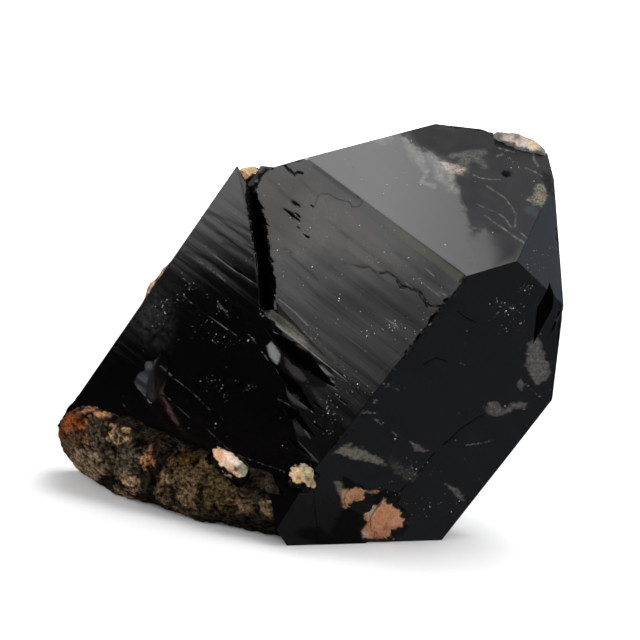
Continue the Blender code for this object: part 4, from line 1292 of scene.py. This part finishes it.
def dress_rock():
    piece = merged_copy("matrix_rock", "rock_grain", 6)
    points, normals = points_of(piece), normals_of(piece)
    seen = in_picture(points)
    coarse, fine = fine_noise(points, 1.7 * MM, 5.0), fine_noise(points, 0.7 * MM)
    specks = fine_noise(points, 0.4 * MM, 22.0)
    wide_bends = np.stack([fine_noise(points, 2.4 * MM, 60.0 + k) for k in (0, 1)], axis=1)
    tight_bends = np.stack([fine_noise(points, 1.0 * MM, 70.0 + k) for k in (0, 1)], axis=1)
    bent = seen + wide_bends * 6 + tight_bends * 4
    skin = np.tile((0.022, 0.018, 0.013), (len(points), 1))
    height = np.zeros(len(points))
    for x, y, wide, high, tone in ROCK_ZONES:
        near = (1 - np.hypot((bent[:, 0] - x) / wide, (bent[:, 1] - y) / high)) * min(wide, high)
        zone = step(near + fine * 2, -3.0, 3.5)
        skin = blend(skin, zone, tone)
        height = np.maximum(height, zone)
    for *line, width in ROCK_VEINS:
        vein = on_line(bent, line, -width, 0.5, fine * 1.5)
        skin = blend(skin, vein * 0.9, (0.006, 0.005, 0.004))
        height *= 1 - vein
    patchy = np.clip(0.85 + 1.3 * coarse + 1.1 * fine + 0.8 * specks, 0.12, 2.0)
    skin = skin * (patchy * (1 + 0.06 * specks))[:, None]
    relief = coarse * 0.28 + fine * 0.24 + specks * 0.12 + height * 0.25 - 0.2
    move_to(piece, points + normals * relief[:, None] * MM)
    set_paint(piece, "skin", np.clip(skin, 0, 1))
    piece.data.materials.append(rock_material())
    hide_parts("matrix_rock")
    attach(piece, "root")


def build_stage():
    """A round pale floor that curves up into a wall all round, painted with a glow that grows away from the
    middle; polished faces don't mirror it.
    """
    deselect_all()
    bpy.ops.mesh.primitive_circle_add(vertices=96, radius=0.02, fill_type="NGON", location=(0, 0, 0))
    floor = bpy.context.active_object
    floor.name = "studio_floor"
    bpy.ops.object.mode_set(mode="EDIT")
    bpy.ops.mesh.select_all(action="SELECT")
    rise = [(1.4, 0.0), (1.6, 0.03), (1.75, 0.12), (1.85, 0.28), (1.9, 0.5), (1.9, 1.6)]
    radius, height = 0.02, 0.0
    for wide, high in rise:
        bpy.ops.mesh.extrude_region_move(TRANSFORM_OT_translate={"value": (0, 0, high - height)})
        bpy.ops.transform.resize(value=(wide / radius, wide / radius, 1))
        radius, height = wide, high
    bpy.ops.mesh.delete(type="ONLY_FACE")
    bpy.ops.object.mode_set(mode="OBJECT")
    stuff, place, paint, feed = new_material("pale_paper_painted_glow")
    # Painted glow: the floor and wall glow more the farther they are from the middle, up to a pale white
    far = place.node("ShaderNodeVectorMath", {"operation": "LENGTH"}, {0: place}, 1)
    feed(
        Base_Color=place.noise(3, 2).tint((0.86, 0.86, 0.86, 1), (0.88, 0.88, 0.88, 1)),
        Emission_Color=far.between(0.15, 1.1).tint(grey(0.0), grey(0.9)),
        Emission_Strength=1.0,
        Roughness=0.9,
    )
    floor.data.materials.append(stuff)
    floor.visible_glossy = False


def heading(left, up):
    """The direction that many degrees left of the front and above level."""
    left, up = math.radians(left), math.radians(up)
    return Vector((-math.sin(left) * math.cos(up), -math.cos(left) * math.cos(up), math.sin(up)))


SCREEN_TOWARDS = heading(44, 27.8)
SCREEN_DISTANCE = 1.2
SCREEN_ACROSS = Vector((0, 0, 1)).cross(SCREEN_TOWARDS).normalized() * -1.0
SCREEN_UP = SCREEN_TOWARDS.cross(SCREEN_ACROSS) * -1.0


def on_screen(across, up):
    """A place on the upright screen at the left behind the camera that the polished faces mirror."""
    return Vector((0, 0, 0.04)) + SCREEN_TOWARDS * SCREEN_DISTANCE + SCREEN_ACROSS * across + SCREEN_UP * up


def area_light(name, width, height, brightness):
    """A flat light of that size; brightness is that of its surface."""
    data = bpy.data.lights.new(name, "AREA")
    data.shape, data.size, data.size_y = "RECTANGLE", width, height
    data.energy = brightness * math.pi * width * height
    lamp = bpy.data.objects.new(name, data)
    bpy.context.scene.collection.objects.link(lamp)
    return lamp


def edged_softbox(name, start, end, height, brightness, fades, top=0.0):
    """A softbox on the screen, its lower edge from start to end; fades and top say how softly its edges end."""
    low, high = on_screen(*start), on_screen(*end)
    across = (high - low).normalized()
    up = SCREEN_UP - across * SCREEN_UP.dot(across)
    up.normalize()
    if across.cross(up).dot(SCREEN_TOWARDS) < 0:
        across, fades = -across, fades[::-1]
    lamp = area_light(name, (high - low).length, height, brightness)
    lamp.data.use_nodes = True
    tree = lamp.data.node_tree
    surface = Val(tree, tree.nodes.new("ShaderNodeNewGeometry").outputs["Parametric"])
    along, rise, _ = surface.parts()
    ramp = along * ((fades[1] - fades[0]) / height) + fades[0] / height
    lit = rise.math("DIVIDE", ramp).between(0.0, 1.0)
    if top:
        lit = lit * (1.0 - rise).between(0.0, top / height)
    tree.links.new(lit.socket, tree.nodes["Emission"].inputs["Strength"])
    middle = (low + high) / 2 + up * height / 2
    lamp.matrix_world = Matrix.Translation(middle) @ Matrix((across, up, across.cross(up))).transposed().to_4x4()


def softbox(name, towards, distance, width, height, brightness, colour=(1, 1, 1)):
    """A softbox at that distance in that direction."""
    lamp = area_light(name, width, height, brightness)
    lamp.data.color = colour
    direction = towards.normalized()
    lamp.location = Vector((0, 0, 0.04)) + direction * distance
    lamp.rotation_mode = "QUATERNION"
    lamp.rotation_quaternion = direction.to_track_quat("Z", "Y")


def light_studio():
    world = bpy.data.worlds.new("dim_studio")
    bpy.context.scene.world = world
    world.use_nodes = True
    tree = world.node_tree
    direction = Val(tree, tree.nodes.new("ShaderNodeTexCoord").outputs["Generated"])
    side, _, _ = direction.parts()
    dim = side.between(-0.1, 0.6).tint((0.004, 0.004, 0.005, 1), (0.17, 0.18, 0.20, 1))
    tree.links.new(dim.socket, tree.nodes["Background"].inputs["Color"])
    softbox("overhead", mirrored("tip", 430, 200), 1.0, 0.9, 0.9, 3.7)
    edged_softbox("front_left", (-0.33, -0.057), (0.33, -0.238), 0.4, 2.5, (0.204, 0.045))
    edged_softbox("far_left", (0.228, -0.262), (0.33, -0.29), 0.075, 0.3, (0.035, 0.035), 0.04)
    softbox("right_back", mirrored("side_tip", 535, 240), 1.2, 0.5, 0.5, 0.27, (0.8, 0.9, 1.1))
    bpy.context.scene.view_settings.view_transform = "Standard"


dress_crystals()
scatter_grit()
dress_lumps()
dress_rock()
build_stage()
light_studio()
